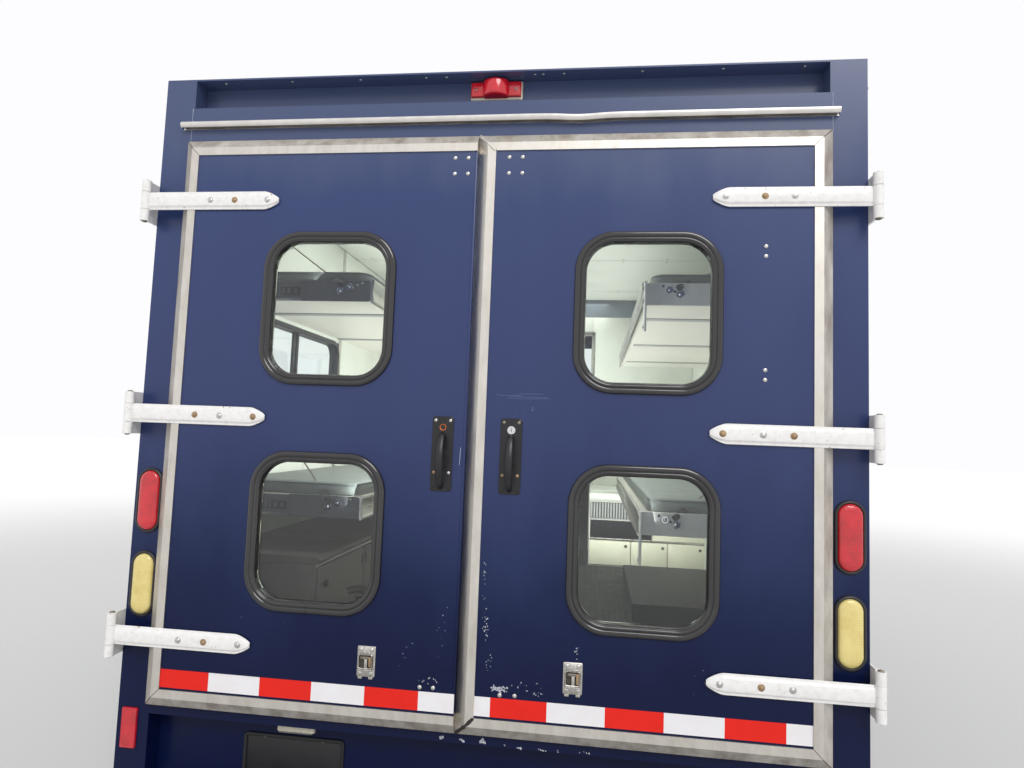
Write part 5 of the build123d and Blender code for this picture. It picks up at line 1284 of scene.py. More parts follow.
def rack_signs():
    """Ends of the racks as seen from the doors: dark end sheets with a slotted label holder, three bright
    studs and a pale lower edge."""
    shell = Shell()
    for side in (-1, 1):
        for z in RACK_Z:
            y = RACK_BACK
            box_shell(shell, (side * 484, side * 1000), (y - 2, y + 1), (z + 4, z + RACK_THICK - 1),
                      "rack_end", 0.8)
            box_shell(shell, (side * 484, side * 1000), (y - 4, y + 4), (z - 3, z + 5),
                      "bright_aluminium", 1.2)
            box_shell(shell, (side * 746, side * 820), (y - 4.5, y - 1), (z + 18, z + 48),
                      "moulded_black", 1.5)
            for x in (756, 780, 802):
                box_shell(shell, (side * x, side * (x + 13)), (y - 5.5, y - 3.5), (z + 24, z + 42),
                          "rack_end", 0.8)
    shell.write("rack_end_sheets", "van", 35.0, "grey_liner")


counter()
front_unit()
floor_mat()
extinguisher()
rack_signs()


# Wheels

FRONT_AXLE, REAR_AXLE, WHEEL_RADIUS = 2111.0, -1267.0, 372.0


def tyre_ring(shell, x, y):
    """One tyre: the sidewall bulges as a sine between bead and shoulder with two raised rings, the crown
    falls off as u^4, grooves run round it, and slots cross its shoulder ribs 56 times a turn."""
    s = np.linspace(0, 1, 13)
    ring = 2.0 * (((s > 0.08) & (s < 0.2)) | ((s > 0.6) & (s < 0.68)))
    wall = -(85 + 25 * np.sin(math.pi * s ** 0.85) ** 0.9 + ring)
    rise = 208 + 146 * s
    half = np.array((-86, -80, -70, -58, -56, -50, -48, -34, -22, -20, -14, -12, 0))
    u = np.append(half, -half[-2::-1])
    crown = WHEEL_RADIUS - 7 * (np.abs(u) / 88) ** 4 - 9.0 * np.isin(np.abs(u), (50, 56, 14, 20))
    across = np.concatenate([wall, u, -wall[::-1]])
    radius = np.concatenate([rise, crown, rise[::-1]])
    shoulder = np.concatenate([np.zeros(13), np.abs(u) >= 58, np.zeros(13)])
    turns = np.arange(224)[:, None]
    turn = 2 * math.pi * turns / 224
    radius = radius - 6.0 * shoulder * (turns % 4 == 0)
    shell.rings(joined(x + across, y + radius * np.sin(turn), WHEEL_RADIUS - radius * np.cos(turn)),
                "tyre_rubber", loop=True)


def wheel(name, side, axle, places, face, hub_end):
    """Tyre, lug nuts on their circle, hub cap, flange bolts, valve and a clipped balance weight of one
    wheel."""
    shell = Shell()
    for place in places:
        tyre_ring(shell, side * place, axle)
    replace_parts(shell.write(f"{name}_tread", name, 28.0, "tyre_rubber"), f"{name}_tyre")
    shell = Shell()
    out = (side, 0, 0)
    for k in range(8):
        turn = 2 * math.pi * (k + 0.5) / 8
        y, z = axle + 86 * math.cos(turn), WHEEL_RADIUS + 86 * math.sin(turn)
        turned(shell, (side * face, y, z), out, ((-0.5, 18), (2.5, 18), (3.5, 16)), "dull_screw", 20)
        turned(shell, (side * face, y, z), out, ((3, 15), (13, 15), (16, 12.5)), "rusty_bolt", 6)
        turned(shell, (side * face, y, z), out, ((15, 7), (18, 7), (18, 6)), "dull_screw", 12)
    dome = [(hub_end - 6, 42), (hub_end - 2, 42)]
    dome += [(hub_end - 2 + 8 * math.sin(t), 38 * math.cos(t)) for t in np.linspace(0.1, math.pi / 2, 7)]
    turned(shell, (0, axle, WHEEL_RADIUS), out, dome, "cast_steel", 32)
    turned(shell, (0, axle, WHEEL_RADIUS), out,
           ((hub_end - 3, 60.3), (hub_end + 0.6, 60.3), (hub_end + 1.4, 58), (hub_end + 1.4, 40)),
           "cast_steel", 40)
    for k in range(8):
        turn = 2 * math.pi * k / 8
        hex_head(shell, side * (hub_end + 1), axle + 50 * math.cos(turn),
                 WHEEL_RADIUS + 50 * math.sin(turn), 10, 3.5, "dull_screw", out)
    start = np.array((side * (places[0] + 40), axle + 10, WHEEL_RADIUS + 182))
    ahead = np.array((side * 0.86, 0.0, -0.5))
    turned(shell, start, ahead, ((0, 7), (8, 6), (12, 4), (44, 4), (46, 5), (58, 5), (60, 3)),
           "dull_screw", 14)
    t = np.linspace(0.9, 1.18, 8)
    weight = spread(side * (places[0] + 86), axle + 203 * np.sin(t), WHEEL_RADIUS + 203 * np.cos(t))
    swept(shell, weight, rounded(9, 7, 2, 2), "dull_screw", up=(1, 0, 0))
    shell.write(f"{name}_nuts", name, 35.0, "white_wheel_paint")


for side_name, side_sign in DOOR_SIDES:
    wheel(f"wheel_front_{side_name}", side_sign, FRONT_AXLE, (890.0,), 1021.0, 1032.0)
    wheel(f"wheel_rear_{side_name}", side_sign, REAR_AXLE, (899.0, 637.0), 780.0, 950.0)


# Mirrors, light bar and roof

ROOF_TOP = 2593.0


def mirrors():
    """Mirrors: a shell whose back swells by 10 mm as a sine while its outline shrinks as cos^0.6, a rubber
    bead round the glass, and tubular arms with bolted feet."""
    shell = Shell()
    for side in (-1, 1):
        x, y, z = side * 1190.0, 2010.0, 1760.0

        def at(flat, proud):
            return on_rear(flat, x, z, y - proud)

        turns = np.linspace(math.pi / 2, 0, 8)
        backs = [(max(0.06, math.cos(t) ** 0.6), -2 - 10 * math.sin(t)) for t in turns]
        shell.rings([at(rounded(182 * s, 362 * s, 26 * s, 6), back) for s, back in backs]
                    + [at(rounded(184, 364, 26, 6), 22)], "moulded_black")
        softened(shell, at, 186, 366, 27, ((0, 20), (0, 24), (2, 27), (6, 28), (9, 26), (9, 21)),
                 "black_rubber", 6, drawn=1, loop=True)
        softened(shell, at, 168, 348, 18, ((0, 20), (0, 23.4), (1.4, 24.6)), "mirror_glass", 6, drawn=1)
        for dz in (-110, 110):
            foot = side * WALL_OUT
            shell.rings([on_side(circle(13, 16), y, z + dz, foot + side * v) for v in (0, 3, 25, 27)],
                        "moulded_black")
            swept(shell, spread(foot + side * np.array((1, 17, 47, 77)), y, z + dz), circle(11.5, 16),
                  "moulded_black")
            for dy in (-24, 24):
                hex_head(shell, foot + side, y + dy, z + dz, 13, 5, "rusty_bolt", (side, 0, 0), washer=11)
            box_shell(shell, (foot - 2 * side, foot + 4 * side), (y - 36, y + 36), (z + dz - 22, z + dz + 22),
                      "moulded_black", 3)
    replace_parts(shell.write("mirrors_finished", "van", 40.0, "black_enamel"), "mirrors")


def light_bar():
    """Light bar: a low body with feet, and on it lenses whose section is a flattened superellipse with
    upright flutes, red at the sides and clear in the middle, parted by black ribs."""
    shell = Shell()
    y0, y1, z0 = 1640.0, 1890.0, ROOF_TOP + 20
    box_shell(shell, (-608, 608), (y0 + 4, y1 - 4), (z0, z0 + 24), "moulded_black", 6)
    for x in (-430, 430):
        box_shell(shell, (x - 60, x + 60), (y0 + 40, y1 - 40), (ROOF_TOP, z0 + 2), "moulded_black", 5)
    middle_y, half_y = (y0 + y1) / 2, (y1 - y0) / 2 - 5
    c, s = oval(32)
    c, s = bulged(c, 0.5), bulged(s, 0.55)
    spans = ((-604, -372, "prism_red"), (-366, -134, "prism_red"), (-128, 128, "bar_clear"),
             (134, 366, "prism_red"), (372, 604, "prism_red"))
    count = 58
    k = np.arange(count + 1)[:, None]
    from_end = np.minimum(k, count - k)
    flute = 1.1 * (k % 2) * (from_end > 2)
    shrink = 1 - 0.06 * np.maximum(0.0, 1 - from_end / 3) ** 2
    for low, high, material in spans:
        x = low + (high - low) * k / count
        fade = 1 - 0.45 * (np.maximum(0.0, np.abs(x) - 560) / 44) ** 2
        wide = (half_y - flute) * shrink * (1 - 0.3 * (1 - fade))
        shell.rings(joined(x, middle_y + wide * c, z0 + 24 + 36.5 * fade + 36.5 * shrink * fade * s),
                    material)
    for x in (-369, -131, 131, 369):
        ribs = np.array((x - 3, x + 3))[:, None]
        shell.rings(joined(ribs, middle_y + (half_y + 1) * c, z0 + 60.5 + 38 * s), "moulded_black")
    for x in (-480, -250, 250, 480):
        turned(shell, (x, middle_y, z0 + 26), (0, 0, 1), ((0, 44), (30, 44), (44, 34), (50, 12)),
               "chrome", 24)
    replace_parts(shell.write("light_bar_finished", "van", 40.0, "red_lens"), "light_bar")


def roof_finish():
    """Roof: lapped seams as low ridges with rivet rows either side, gutters of a hooked section along both
    sides, and the vent's pressed ribs."""
    shell = Shell()
    for y in (-1740, -500, 620):
        section = ((-16, -0.3), (-15, 1.6), (-6, 2.4), (6, 2.4), (15, 1.6), (16, -0.3))
        swept(shell, spread(np.linspace(-1034, 1034, 9), y, ROOF_TOP), section, "navy_enamel")
        for x in range(-1000, 1001, 80):
            for dy in (-10, 10):
                screw_head(shell, x, y + dy, ROOF_TOP + 1.8, 4, 1.8, "navy_enamel", (0, 0, 1))
    out, up = np.array(((-1, 0), (7, 0), (8.5, 4), (10, 4), (10, -3), (-1, -3))).T
    for side in (-1, 1):
        y = np.linspace(-2688, 1990, 9)[:, None]
        shell.rings(joined(side * (WALL_OUT + out), y, ROOF_TOP - 34 + up), "navy_enamel")
    for k in range(-2, 3):
        lift = 0.3 + 0.7 * np.maximum(0.0, np.sin(math.pi * np.linspace(0, 1, 11))) ** 0.3
        swept(shell, spread(k * 72, np.linspace(-1045, -755, 11), 2650.5),
              ((-12, -2), (-8, 2.5), (0, 4.5), (8, 2.5), (12, -2)), "navy_enamel", twist=lift)
    for x, y in ((-180, -1090), (180, -1090), (-180, -710), (180, -710)):
        screw_head(shell, x, y, 2618, 6, 3, "dull_screw", (0, 0, 1))
    shell.write("roof_seams", "van", 35.0, "navy_enamel")


mirrors()
light_bar()
roof_finish()


# Front

SCREEN_BASE = np.array((0.0, 2330.0, 1440.0))
SCREEN_UP = np.array((0.0, -240.0, 1060.0)) / math.hypot(240.0, 1060.0)
SCREEN_OUT = np.array((0.0, 1060.0, 240.0)) / math.hypot(240.0, 1060.0)
ALONG_X = np.array((1.0, 0.0, 0.0))


def on_screen(outline, x, along, out):
    """Puts a flat outline on the raked plane of the windscreen, along it from the cowl and out from its
    outer face."""
    base = SCREEN_BASE + out * SCREEN_OUT
    return (base + (outline[:, :1] + x) * ALONG_X + (outline[:, 1:] + along) * SCREEN_UP) * MM


def windscreen_trim():
    """Windscreen rubbers with a bright filler strip, both drawn round the panes' outline, and two wipers:
    bowed arms from a pivot with a cap, and blades of a spine and a lip."""
    shell = Shell()
    rubber = ((-20, -1), (-20, 2), (-16, 6), (-8, 7.5), (0, 6.5), (3.5, 3), (3.5, -19), (0, -19), (-1, -2))
    filler = ((-11, 7), (-11, 9), (-8.5, 9.8), (-6, 9), (-6, 7))
    for side in (-1, 1):
        for section, material in ((rubber, "black_rubber"), (filler, "bright_aluminium")):
            softened(shell, lambda flat, out: on_screen(flat, side * 496.5, 540.9, out), 923, 941.8, 55,
                     section, material, 8, drawn=1, loop=True)
        pivot = SCREEN_BASE + side * 330.0 * ALONG_X + 34 * SCREEN_UP
        turned(shell, pivot, SCREEN_OUT, ((-1, 20), (6, 19), (14, 16), (24, 15), (28, 10), (28, 1)),
               "moulded_black", 24)
        reach = -side * 210.0 * ALONG_X + 300 * SCREEN_UP
        t = np.linspace(0, 1, 12)[:, None]
        arm = pivot + t * reach + (20 + 6 * np.sin(math.pi * t) - 30 * t ** 2) * SCREEN_OUT
        swept(shell, arm, rounded(14, 6, 2, 2), "moulded_black", up=SCREEN_OUT)
        lean = side * 0.28 * ALONG_X + 0.96 * SCREEN_UP
        blade = pivot + reach - 12 * SCREEN_OUT + 225 * np.linspace(-1, 1, 9)[:, None] * lean
        for wide, tall, out, material in ((9, 4, 3, "moulded_black"), (4, 7, -3.4, "black_rubber")):
            swept(shell, blade + out * SCREEN_OUT, rounded(wide, tall, 1.2, 2), material, up=SCREEN_OUT)
    for x in range(-900, 901, 150):
        screw_head(shell, *(SCREEN_BASE + x * ALONG_X + 1052 * SCREEN_UP), 5, 2, "dull_screw", SCREEN_OUT)
    shell.write("windscreen_trim", "van", 35.0, "black_rubber")


def grille():
    """Grille: a rounded frame, eight slats whose section is a leaning aerofoil, three uprights, and the
    radiator's face behind as close upright fins."""
    shell = Shell()
    z0, z1, y = 770.0, 1120.0, 2894.0
    rows = []
    for inset, depth in ((0, 34), (0, 4), (2, 1), (6, 0), (16, 0), (20, 3), (22, 8), (22, 34)):
        rows.append(on_rear(rounded(1040 - 2 * inset, 350 - 2 * inset, max(26 - inset, 4), 6), 0,
                            (z0 + z1) / 2, y - depth))
    shell.rings(rows, "black_enamel", loop=True)
    c, s = oval(16)
    ends = np.array((-500, -499, 499, 500))[:, None]
    for k in range(8):
        z = z0 + 40 + k * (z1 - z0 - 80) / 7
        shell.rings(joined(ends, y - 14 + 13 * c, z + 8 * s * (1.15 - 0.5 * c) + 4 * c),
                    "bright_aluminium" if k in (0, 7) else "black_enamel")
    for x in (-250, 0, 250):
        box_shell(shell, (x - 6, x + 6), (y - 30, y - 22), (z0 + 16, z1 - 16), "black_enamel", 2)
    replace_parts(shell.write("grille_finished", "van", 35.0, "black_enamel"), "grille")
    shell = Shell()
    for x in range(-426, 427, 12):
        box_shell(shell, (x - 1.2, x + 1.2), (2850.5, 2855), (712, 1118), "radiator_fins", 0.4, 1)
    for x in (-431, 431):
        box_shell(shell, (x - 8, x + 8), (2846, 2857), (700, 1130), "chassis_black", 2)
    box_shell(shell, (-439, 439), (2822, 2856), (1118, 1139), "chassis_black", 4)
    shell.write("radiator_face", "van", 35.0, "chassis_black")


def headlamps():
    """Headlamps: a bezel with a rolled rim, a bowl that is a paraboloid silvered inside, a bulb shield, and
    a lens that is a shallow cap with upright flutes. Below each, an amber turn lamp on a rubber pad."""
    bezel, amber = Shell(), Shell()
    for side in (-1, 1):
        centre = (side * 745.0, 2860.0, 950.0)
        turned(bezel, centre, (0, 1, 0), ((0, 112), (44, 112), (52, 110), (56, 105), (55, 99), (50, 95),
                                          (36, 94), (10, 94), (0, 94)), "chrome", 56)
        bowl = [(8 + 34 * (r / 92) ** 2, r) for r in (92, 80, 66, 50, 34, 18, 6)]
        turned(bezel, centre, (0, 1, 0), [(4, 92)] + bowl, "chrome", 48)
        turned(bezel, centre, (0, 1, 0), ((8, 12), (24, 12), (30, 9), (32, 3)), "dull_screw", 24)
        rows = []
        for share in (1.0, 0.98, 0.9, 0.75, 0.55, 0.35, 0.15):
            flat = circle(94 * share, 72)
            depth = 44 + 18 * (1 - share ** 2) + 0.7 * np.abs(np.sin(flat[:, 0] * math.pi / 9)) * (share < 0.99)
            rows.append(on_rear(flat, centre[0], centre[2], centre[1] + depth))
        rows.insert(0, rows[0] - np.array((0, 4 * MM, 0)))
        bezel.rings(rows, "clear_lens")
        for k in range(3):
            turn = math.pi / 2 + 2 * math.pi * k / 3
            screw_head(bezel, centre[0] + 103 * math.cos(turn), 2913, centre[2] + 103 * math.sin(turn),
                       5, 2.5, "dull_screw", (0, 1, 0))
        x, z = side * 745.0, 790.0

        def ahead(flat, proud):
            return on_rear(flat, x, z, 2899 + proud)

        softened(amber, ahead, 156, 76, 14, ((0, 0), (0, 3), (1.5, 5), (8, 5)), "black_rubber")
        softened(amber, ahead, 142, 62, 12, ((0, 4), (0, 10), (2, 14), (6, 17), (14, 18.5), (26, 19)),
                 "prism_amber")
        for dx in (-62, 62):
            screw_head(amber, x + dx, 2914.5, z, 4.5, 2, "dull_screw", (0, 1, 0))
    for x in (-900, -170, 0, 170, 900):
        def above(flat, height):
            return on_ground(flat, x, 2020, ROOF_TOP + height)

        softened(amber, above, 110, 44, 18, ((0, -0.5), (0, 6), (2, 7)), "moulded_black", 4)
        softened(amber, above, 100, 36, 16, ((0, 6), (0, 14), (1.5, 19), (5, 23), (10, 25), (15, 25.6)),
                 "prism_amber", 4)
    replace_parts(bezel.write("headlamps_finished", "van", 35.0, "clear_lens"), "headlamps")
    amber.write("front_amber_lamps", "van", 35.0, "amber_lens")


def hood_line(y):
    """Height of the hood's upper face at y."""
    return 1440.0 - (y - 2330.0) * 150.0 / 510.0


def hood_finish():
    """Pressed beads on the hood, low half rounds that fade at both ends, a rubber latch each side, and a
    pull lip. On the cowl behind it, a row of screws and four groups of vent slots."""
    shell = Shell()
    y = np.linspace(2460, 2780, 15)
    fade = np.sin(math.pi * np.linspace(0.02, 0.98, 15)) ** 0.35
    for x in (-420, -140, 140, 420):
        swept(shell, spread(x, y, hood_line(y)),
              ((-17, -2), (-12, 1.6), (-5, 4.2), (0, 5), (5, 4.2), (12, 1.6), (17, -2)), "navy_enamel",
              twist=fade)
    swept(shell, spread(np.array((-70, -60, 60, 70)), 2812, hood_line(2812) + 3), rounded(16, 9, 4, 3),
          "moulded_black")
    shell.write("hood_beads", "hood", 35.0, "navy_enamel")
    shell = Shell()
    t = np.linspace(0, 1, 9)
    for x in (-560, 560):
        box_shell(shell, (x - 16, x + 16), (2842, 2862), (1242, 1280), "moulded_black", 3)
        swept(shell, spread(x, 2850 + 10 * np.sin(2.2 * t), 1276 + 9 * t), rounded(20, 8, 3, 2),
              "black_rubber", up=(0, 1, 0))
    for x in range(-960, 961, 240):
        screw_head(shell, x, 2333, 1437, 5, 2, "dull_screw", (0, 0.3, 1))
    slot = hood_line(2364)
    for x in (-330, -110, 110, 330):
        for k in range(6):
            box_shell(shell, (x - 60 + 20 * k, x - 50 + 20 * k), (2346, 2382), (slot - 6, slot + 6),
                      "moulded_black", 2)
    shell.write("nose_fittings", "van", 35.0, "black_enamel")


def bumper_finish():
    """Front bumper: two half-round ribs pressed along its face, coach bolts, and two tow hooks bent from
    bar."""
    shell = Shell()
    x, t = np.linspace(-966, 966, 9)[:, None], np.linspace(0, math.pi, 9)
    for z in (520, 620):
        shell.rings(joined(x, 2999 + 5.5 * np.sin(t), z + 13 * np.cos(t)), "black_enamel")
    for x in (-900, -401, 401, 900):
        for z in (570, 664, 476):
            screw_head(shell, x, 3000, z, 11, 6, "rusty_bolt", (0, 1, 0), washer=15)
    turn = math.pi * 1.3 * np.linspace(0, 1, 22) - 0.4
    for side in (-1, 1):
        hook = spread(side * 401, 2966 + 22 * np.cos(turn), 424 + 24 * np.sin(turn))
        swept(shell, hook, circle(8, 12), "cast_steel", up=(1, 0, 0))
        box_shell(shell, (side * 385, side * 417), (2950, 2990), (440, 452), "cast_steel", 3)
    shell.write("bumper_bolts", "van", 35.0, "black_enamel")


windscreen_trim()
grille()
headlamps()
hood_finish()
bumper_finish()


# Cab

def seat(side, name):
    """Seat: a filled cushion and back. Each is a rounded block whose sides bulge as 1 - t^2 and whose face
    is crowned as 1 - s^4, with piping along both rims. The back leans by 90 mm in 750."""
    x = side * 550.0
    cushion, back = Shell(), Shell()
    under, over = (0.3, 0.7, 0.95), (0.97, 0.92, 0.82, 0.66, 0.45, 0.2)

    def flat_at(flat, height):
        return spread(flat[:, 0] + x, flat[:, 1] + 1412, height)

    def leaning(flat, depth):
        high = flat[:, 1] + 1470
        return spread(flat[:, 0] + x, 1130 + depth - 90 * (high - 1080) / 750, high)

    blocks = ((cushion, flat_at, 430, 340, 40, 48, 46, 8, 1084, 1126, 38, 1166, 22),
              (back, leaning, 420, 640, 50, 70, 68, 7, 4, 44, 36, 82, 18))
    for shell, place, wide, long, first, corner, last, swell, low, middle, half, high, crown in blocks:
        rows = [place(rounded(wide * k, long * k, first, 6), low) for k in under]
        for t in np.linspace(-1, 1, 9):
            bulge = swell * (1 - t * t)
            rows.append(place(rounded(wide + 2 * bulge, long + 2 * bulge, corner + bulge, 6),
                              middle + half * t))
        rows += [place(rounded(wide * k, long * k, last * k + 2, 6),
                       high + crown * (1 - k ** 4)) for k in over]
        shell.rings(np.array(rows) * MM, "seat_vinyl")
    for level in (1092, 1160):
        swept(cushion, flat_at(rounded(440, 350, 52, 8), level), circle(4, 8), "seat_vinyl", loop=True)
    for depth in (12, 76):
        swept(back, leaning(rounded(430, 650, 74, 8), depth), circle(4, 8), "seat_vinyl", up=(0, 1, 0),
              loop=True)
    for part, shell in (("cushion", cushion), ("back", back)):
        piece = shell.write(f"seat_{part}_{name}", "van", 60.0, "seat_vinyl")
        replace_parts(piece, "seats")


def seat_frames():
    """Under the cushions: a pressed pan, a pedestal that narrows towards its top, slides, a lever and a
    belt buckle, and hinge plates with a knob beside the back."""
    shell = Shell()
    for side in (-1, 1):
        x = side * 550.0
        rows = [on_ground(rounded(w, d, 20, 4), x, 1370, z)
                for w, d, z in ((340, 340, 741), (340, 340, 748), (280, 280, 760), (240, 250, 1000),
                                (300, 320, 1040), (380, 400, 1048), (390, 410, 1078), (380, 400, 1083))]
        shell.rings(rows, "rack_grey")
        for dx in (-150, 150):
            box_shell(shell, (x + dx - 14, x + dx + 14), (1180, 1560), (1030, 1046), "dull_screw", 2)
        lever = [(x - side * 170, 1500, 1040), (x - side * 190, 1540, 1042), (x - side * 195, 1585, 1050)]
        swept(shell, lever, circle(6, 10), "moulded_black")
        for dx in (-224, 224):
            rows = [on_side(rounded(150, 170, 26, 5) * k, 1186, 1140, x + dx + h)
                    for k, h in ((0.9, -3), (1, -2), (1, 2), (0.9, 3))]
            shell.rings(rows, "rack_grey")
            turned(shell, (x + dx, 1190, 1150), (math.copysign(1, dx), 0, 0),
                   ((2, 24), (6, 24), (8, 20), (8.5, 8), (8.5, 1)), "moulded_black", 24)
        buckle = x - side * 240
        swept(shell, [(buckle, 1250, 1050), (buckle, 1260, 1120), (buckle, 1276, 1186)], rounded(26, 5, 2, 2),
              "moulded_black", up=(0, 1, 0))
        box_shell(shell, (buckle - 9, buckle + 9), (1262, 1294), (1180, 1226), "moulded_black", 4)
        box_shell(shell, (buckle - 6, buckle + 6), (1268, 1288), (1224, 1229), "red_lens", 1.5)
    shell.write("seat_frames", "van", 35.0, "chassis_black")


DASH_BASE = np.array((0.0, 2060.0, 1240.0))
DASH_UP = np.array((0.0, 50.0, 175.0)) / math.hypot(50.0, 175.0)
DASH_OUT = np.array((0.0, -175.0, 50.0)) / math.hypot(50.0, 175.0)


def on_dash(outline, x, along, out):
    """Puts a flat outline on the dashboard's sloping rear face, along it from its lower edge and out from
    it."""
    base = DASH_BASE + out * DASH_OUT
    return (base + (outline[:, :1] + x) * ALONG_X + (outline[:, 1:] + along) * DASH_UP) * MM


def dash_block(shell, x, along, wide, tall, high, material, corner=4.0, low=-1.0):
    """A block with rounded corners and a softened rim, standing on the dashboard's sloping face."""
    softened(shell, lambda flat, out: on_dash(flat, x, along, out), wide, tall, corner,
             ((0, low), (0, high - 1.5), (0.6, high - 0.4), (1.6, high)), material, 4)


def dashboard():
    """Dashboard: a hooded cluster of three dials whose marks stand on arcs, rows of rocker switches,
    slotted vents, a glove box with a catch, and a radio with two knobs."""
    shell = Shell()
    softened(shell, lambda flat, out: on_dash(flat, -550, 122, out), 430, 104, 20,
             ((0, -1), (0, 24), (2, 27), (7, 27), (9, 24), (9, 5), (14, 4)), "moulded_black")
    for x, radius in ((-680, 38), (-550, 42), (-430, 38)):
        bezel = ((-1, radius), (5, radius), (7, radius - 2), (5, radius - 5), (1, radius - 5), (1, 1))
        turned(shell, DASH_BASE + x * ALONG_X + 122 * DASH_UP + 4 * DASH_OUT, DASH_OUT, bezel,
               "dull_screw", 36)
        for k in range(11):
            turn = math.radians(225 - 27 * k)
            dash_block(shell, x + (radius - 10) * math.cos(turn), 122 + (radius - 10) * math.sin(turn), 2.4,
                       5, 6.2, "bracket_white", 0.6, 4)
        dash_block(shell, x + 5, 130, 2.4, radius, 7.4, "prism_red", 0.6, 6)
    for k in range(6):
        dash_block(shell, -190 + 64 * k, 130, 40, 54, 4, "moulded_black")
        dash_block(shell, -190 + 64 * k, 138, 24, 24, 10, "bracket_white")
    dash_block(shell, 330, 118, 190, 62, 12, "moulded_black", 6)
    for x in (250, 410):
        turned(shell, DASH_BASE + x * ALONG_X + 118 * DASH_UP + 11 * DASH_OUT, DASH_OUT,
               ((0, 13), (12, 12), (14, 10), (14, 1)), "chrome", 24)
    for x in (-860, 560, 860):
        dash_block(shell, x, 130, 130, 66, 5, "moulded_black", 8)
        for k in range(5):
            dash_block(shell, x, 108 + 11 * k, 112, 4, 10, "window_anodised", 1)
    dash_block(shell, 700, 55, 380, 76, 5, "rack_grey", 8)
    dash_block(shell, 700, 86, 44, 12, 10, "chrome", 3)
    shell.write("dashboard_fittings", "van", 35.0, "black_enamel")


def cab_floor():
    """Cab floor: ribbed rubber beside the engine cover, three
    pedals on arms, ribbed mats and clamps on the cover."""
    shell = Shell()
    for side in (-1, 1):
        for k in range(24):
            x = side * (340 + 24 * k)
            front = 2050 if abs(x) < 530 else 1636
            box_shell(shell, (x - 7, x + 7), (1180, front), (FLOOR - 0.5, FLOOR + 3.5), "mat_rubber", 1.0, 1)
    for x, wide, tall in ((-502, 54, 80), (-430, 54, 80), (-360, 44, 120)):
        shell.rings([on_rear(rounded(wide * k, tall * k, 8, 3), x, 860 + h * 0.6, 2010 - h * 0.8)
                     for k, h in ((1, 0), (1, 10), (0.9, 14), (0.4, 14))], "mat_rubber")
        swept(shell, [(x, 2014, 862), (x, 2050, 930), (x, 2080, 1060), (x, 2130, 1152)], rounded(9, 22, 3, 2),
              "chassis_black", up=(1, 0, 0))
    for side in (-1, 1):
        for y in (1480, 1960):
            box_shell(shell, (side * 313, side * 323), (y - 30, y + 30), (960, 1030), "chrome", 3)
    for k in range(10):
        box_shell(shell, (-225 + 50 * k - 15, -225 + 50 * k + 15), (1430, 2040), (1149.5, 1154),
                  "mat_rubber", 1.5, 1)
    shell.write("cab_fittings", "van", 30.0, "floor_sheet")


def wheel_grip():
    """Grip of the steering wheel: beads along the rim's underside and a dished horn button over the hub."""
    shell = Shell()
    centre = np.array((-550.0, 1790.0, 1400.0))
    along = np.array((0.0, 300.0, -138.0)) / math.hypot(300.0, 138.0)
    across = np.cross(along, ALONG_X)
    for k in range(36):
        turn = 2 * math.pi * (k + 0.5) / 36
        place = centre + 205 * (math.cos(turn) * ALONG_X + math.sin(turn) * across)
        turned(shell, place, along, ((0, 3), (6, 10), (11, 9), (14.5, 5), (15.2, 1)), "moulded_black", 10)
    turned(shell, centre - 19 * along, -along, ((-2, 40), (4, 40), (10, 36), (13, 28), (11, 18), (10, 1)),
           "moulded_black", 36)
    shell.write("steering_grip", "van", 40.0, "black_enamel")


def underside():
    """Below: U-bolts with plates and nuts round the springs,
    and bands, end seams and clamps on the exhaust."""
    shell = Shell()
    for side in (-1, 1):
        for axle_y, x, perch, leaves in ((FRONT_AXLE, 401, 410, 4), (REAR_AXLE, 478, 434, 6)):
            top = perch + 11 * leaves
            dx, z = np.array(((-37, perch - 46), (-37, top + 2), (-33, top + 9), (-24, top + 12),
                              (24, top + 12), (33, top + 9), (37, top + 2), (37, perch - 46))).T
            for y in (axle_y - 62, axle_y + 62):
                swept(shell, spread(side * x + dx, y, z), circle(6.5, 10), "dull_screw", up=(0, 1, 0))
                for leg in (-37, 37):
                    hex_head(shell, side * x + leg, y, perch - 30, 22, 12, "rusty_bolt", (0, 0, -1))
            box_shell(shell, (side * (x - 46), side * (x + 46)), (axle_y - 78, axle_y + 78),
                      (top + 1, top + 9), "chassis_black", 2)
    for y in (-60, 360):
        turned(shell, (640, y - 16, 560), (0, 1, 0),
               ((0, 94), (0, 98), (3, 99), (29, 99), (32, 98), (32, 94)), "dull_screw", 40)
    for y in (-120, 414):
        turned(shell, (640, y - 3, 560), (0, 1, 0),
               ((0, 90), (0, 97), (4, 98.5), (8, 98.5), (12, 97), (12, 90)), "cast_steel", 40)
    for y in (820, 1460):
        turned(shell, (290, y, 470), (0, 1, 0), ((0, 24), (0, 29), (2, 30), (24, 30), (26, 29), (26, 24)),
               "dull_screw", 28)
    shell.write("underside_fittings", "van", 35.0, "chassis_black")


for side_name, side_sign in DOOR_SIDES:
    seat(side_sign, side_name)
seat_frames()
dashboard()
cab_floor()
wheel_grip()
underside()


# Sides

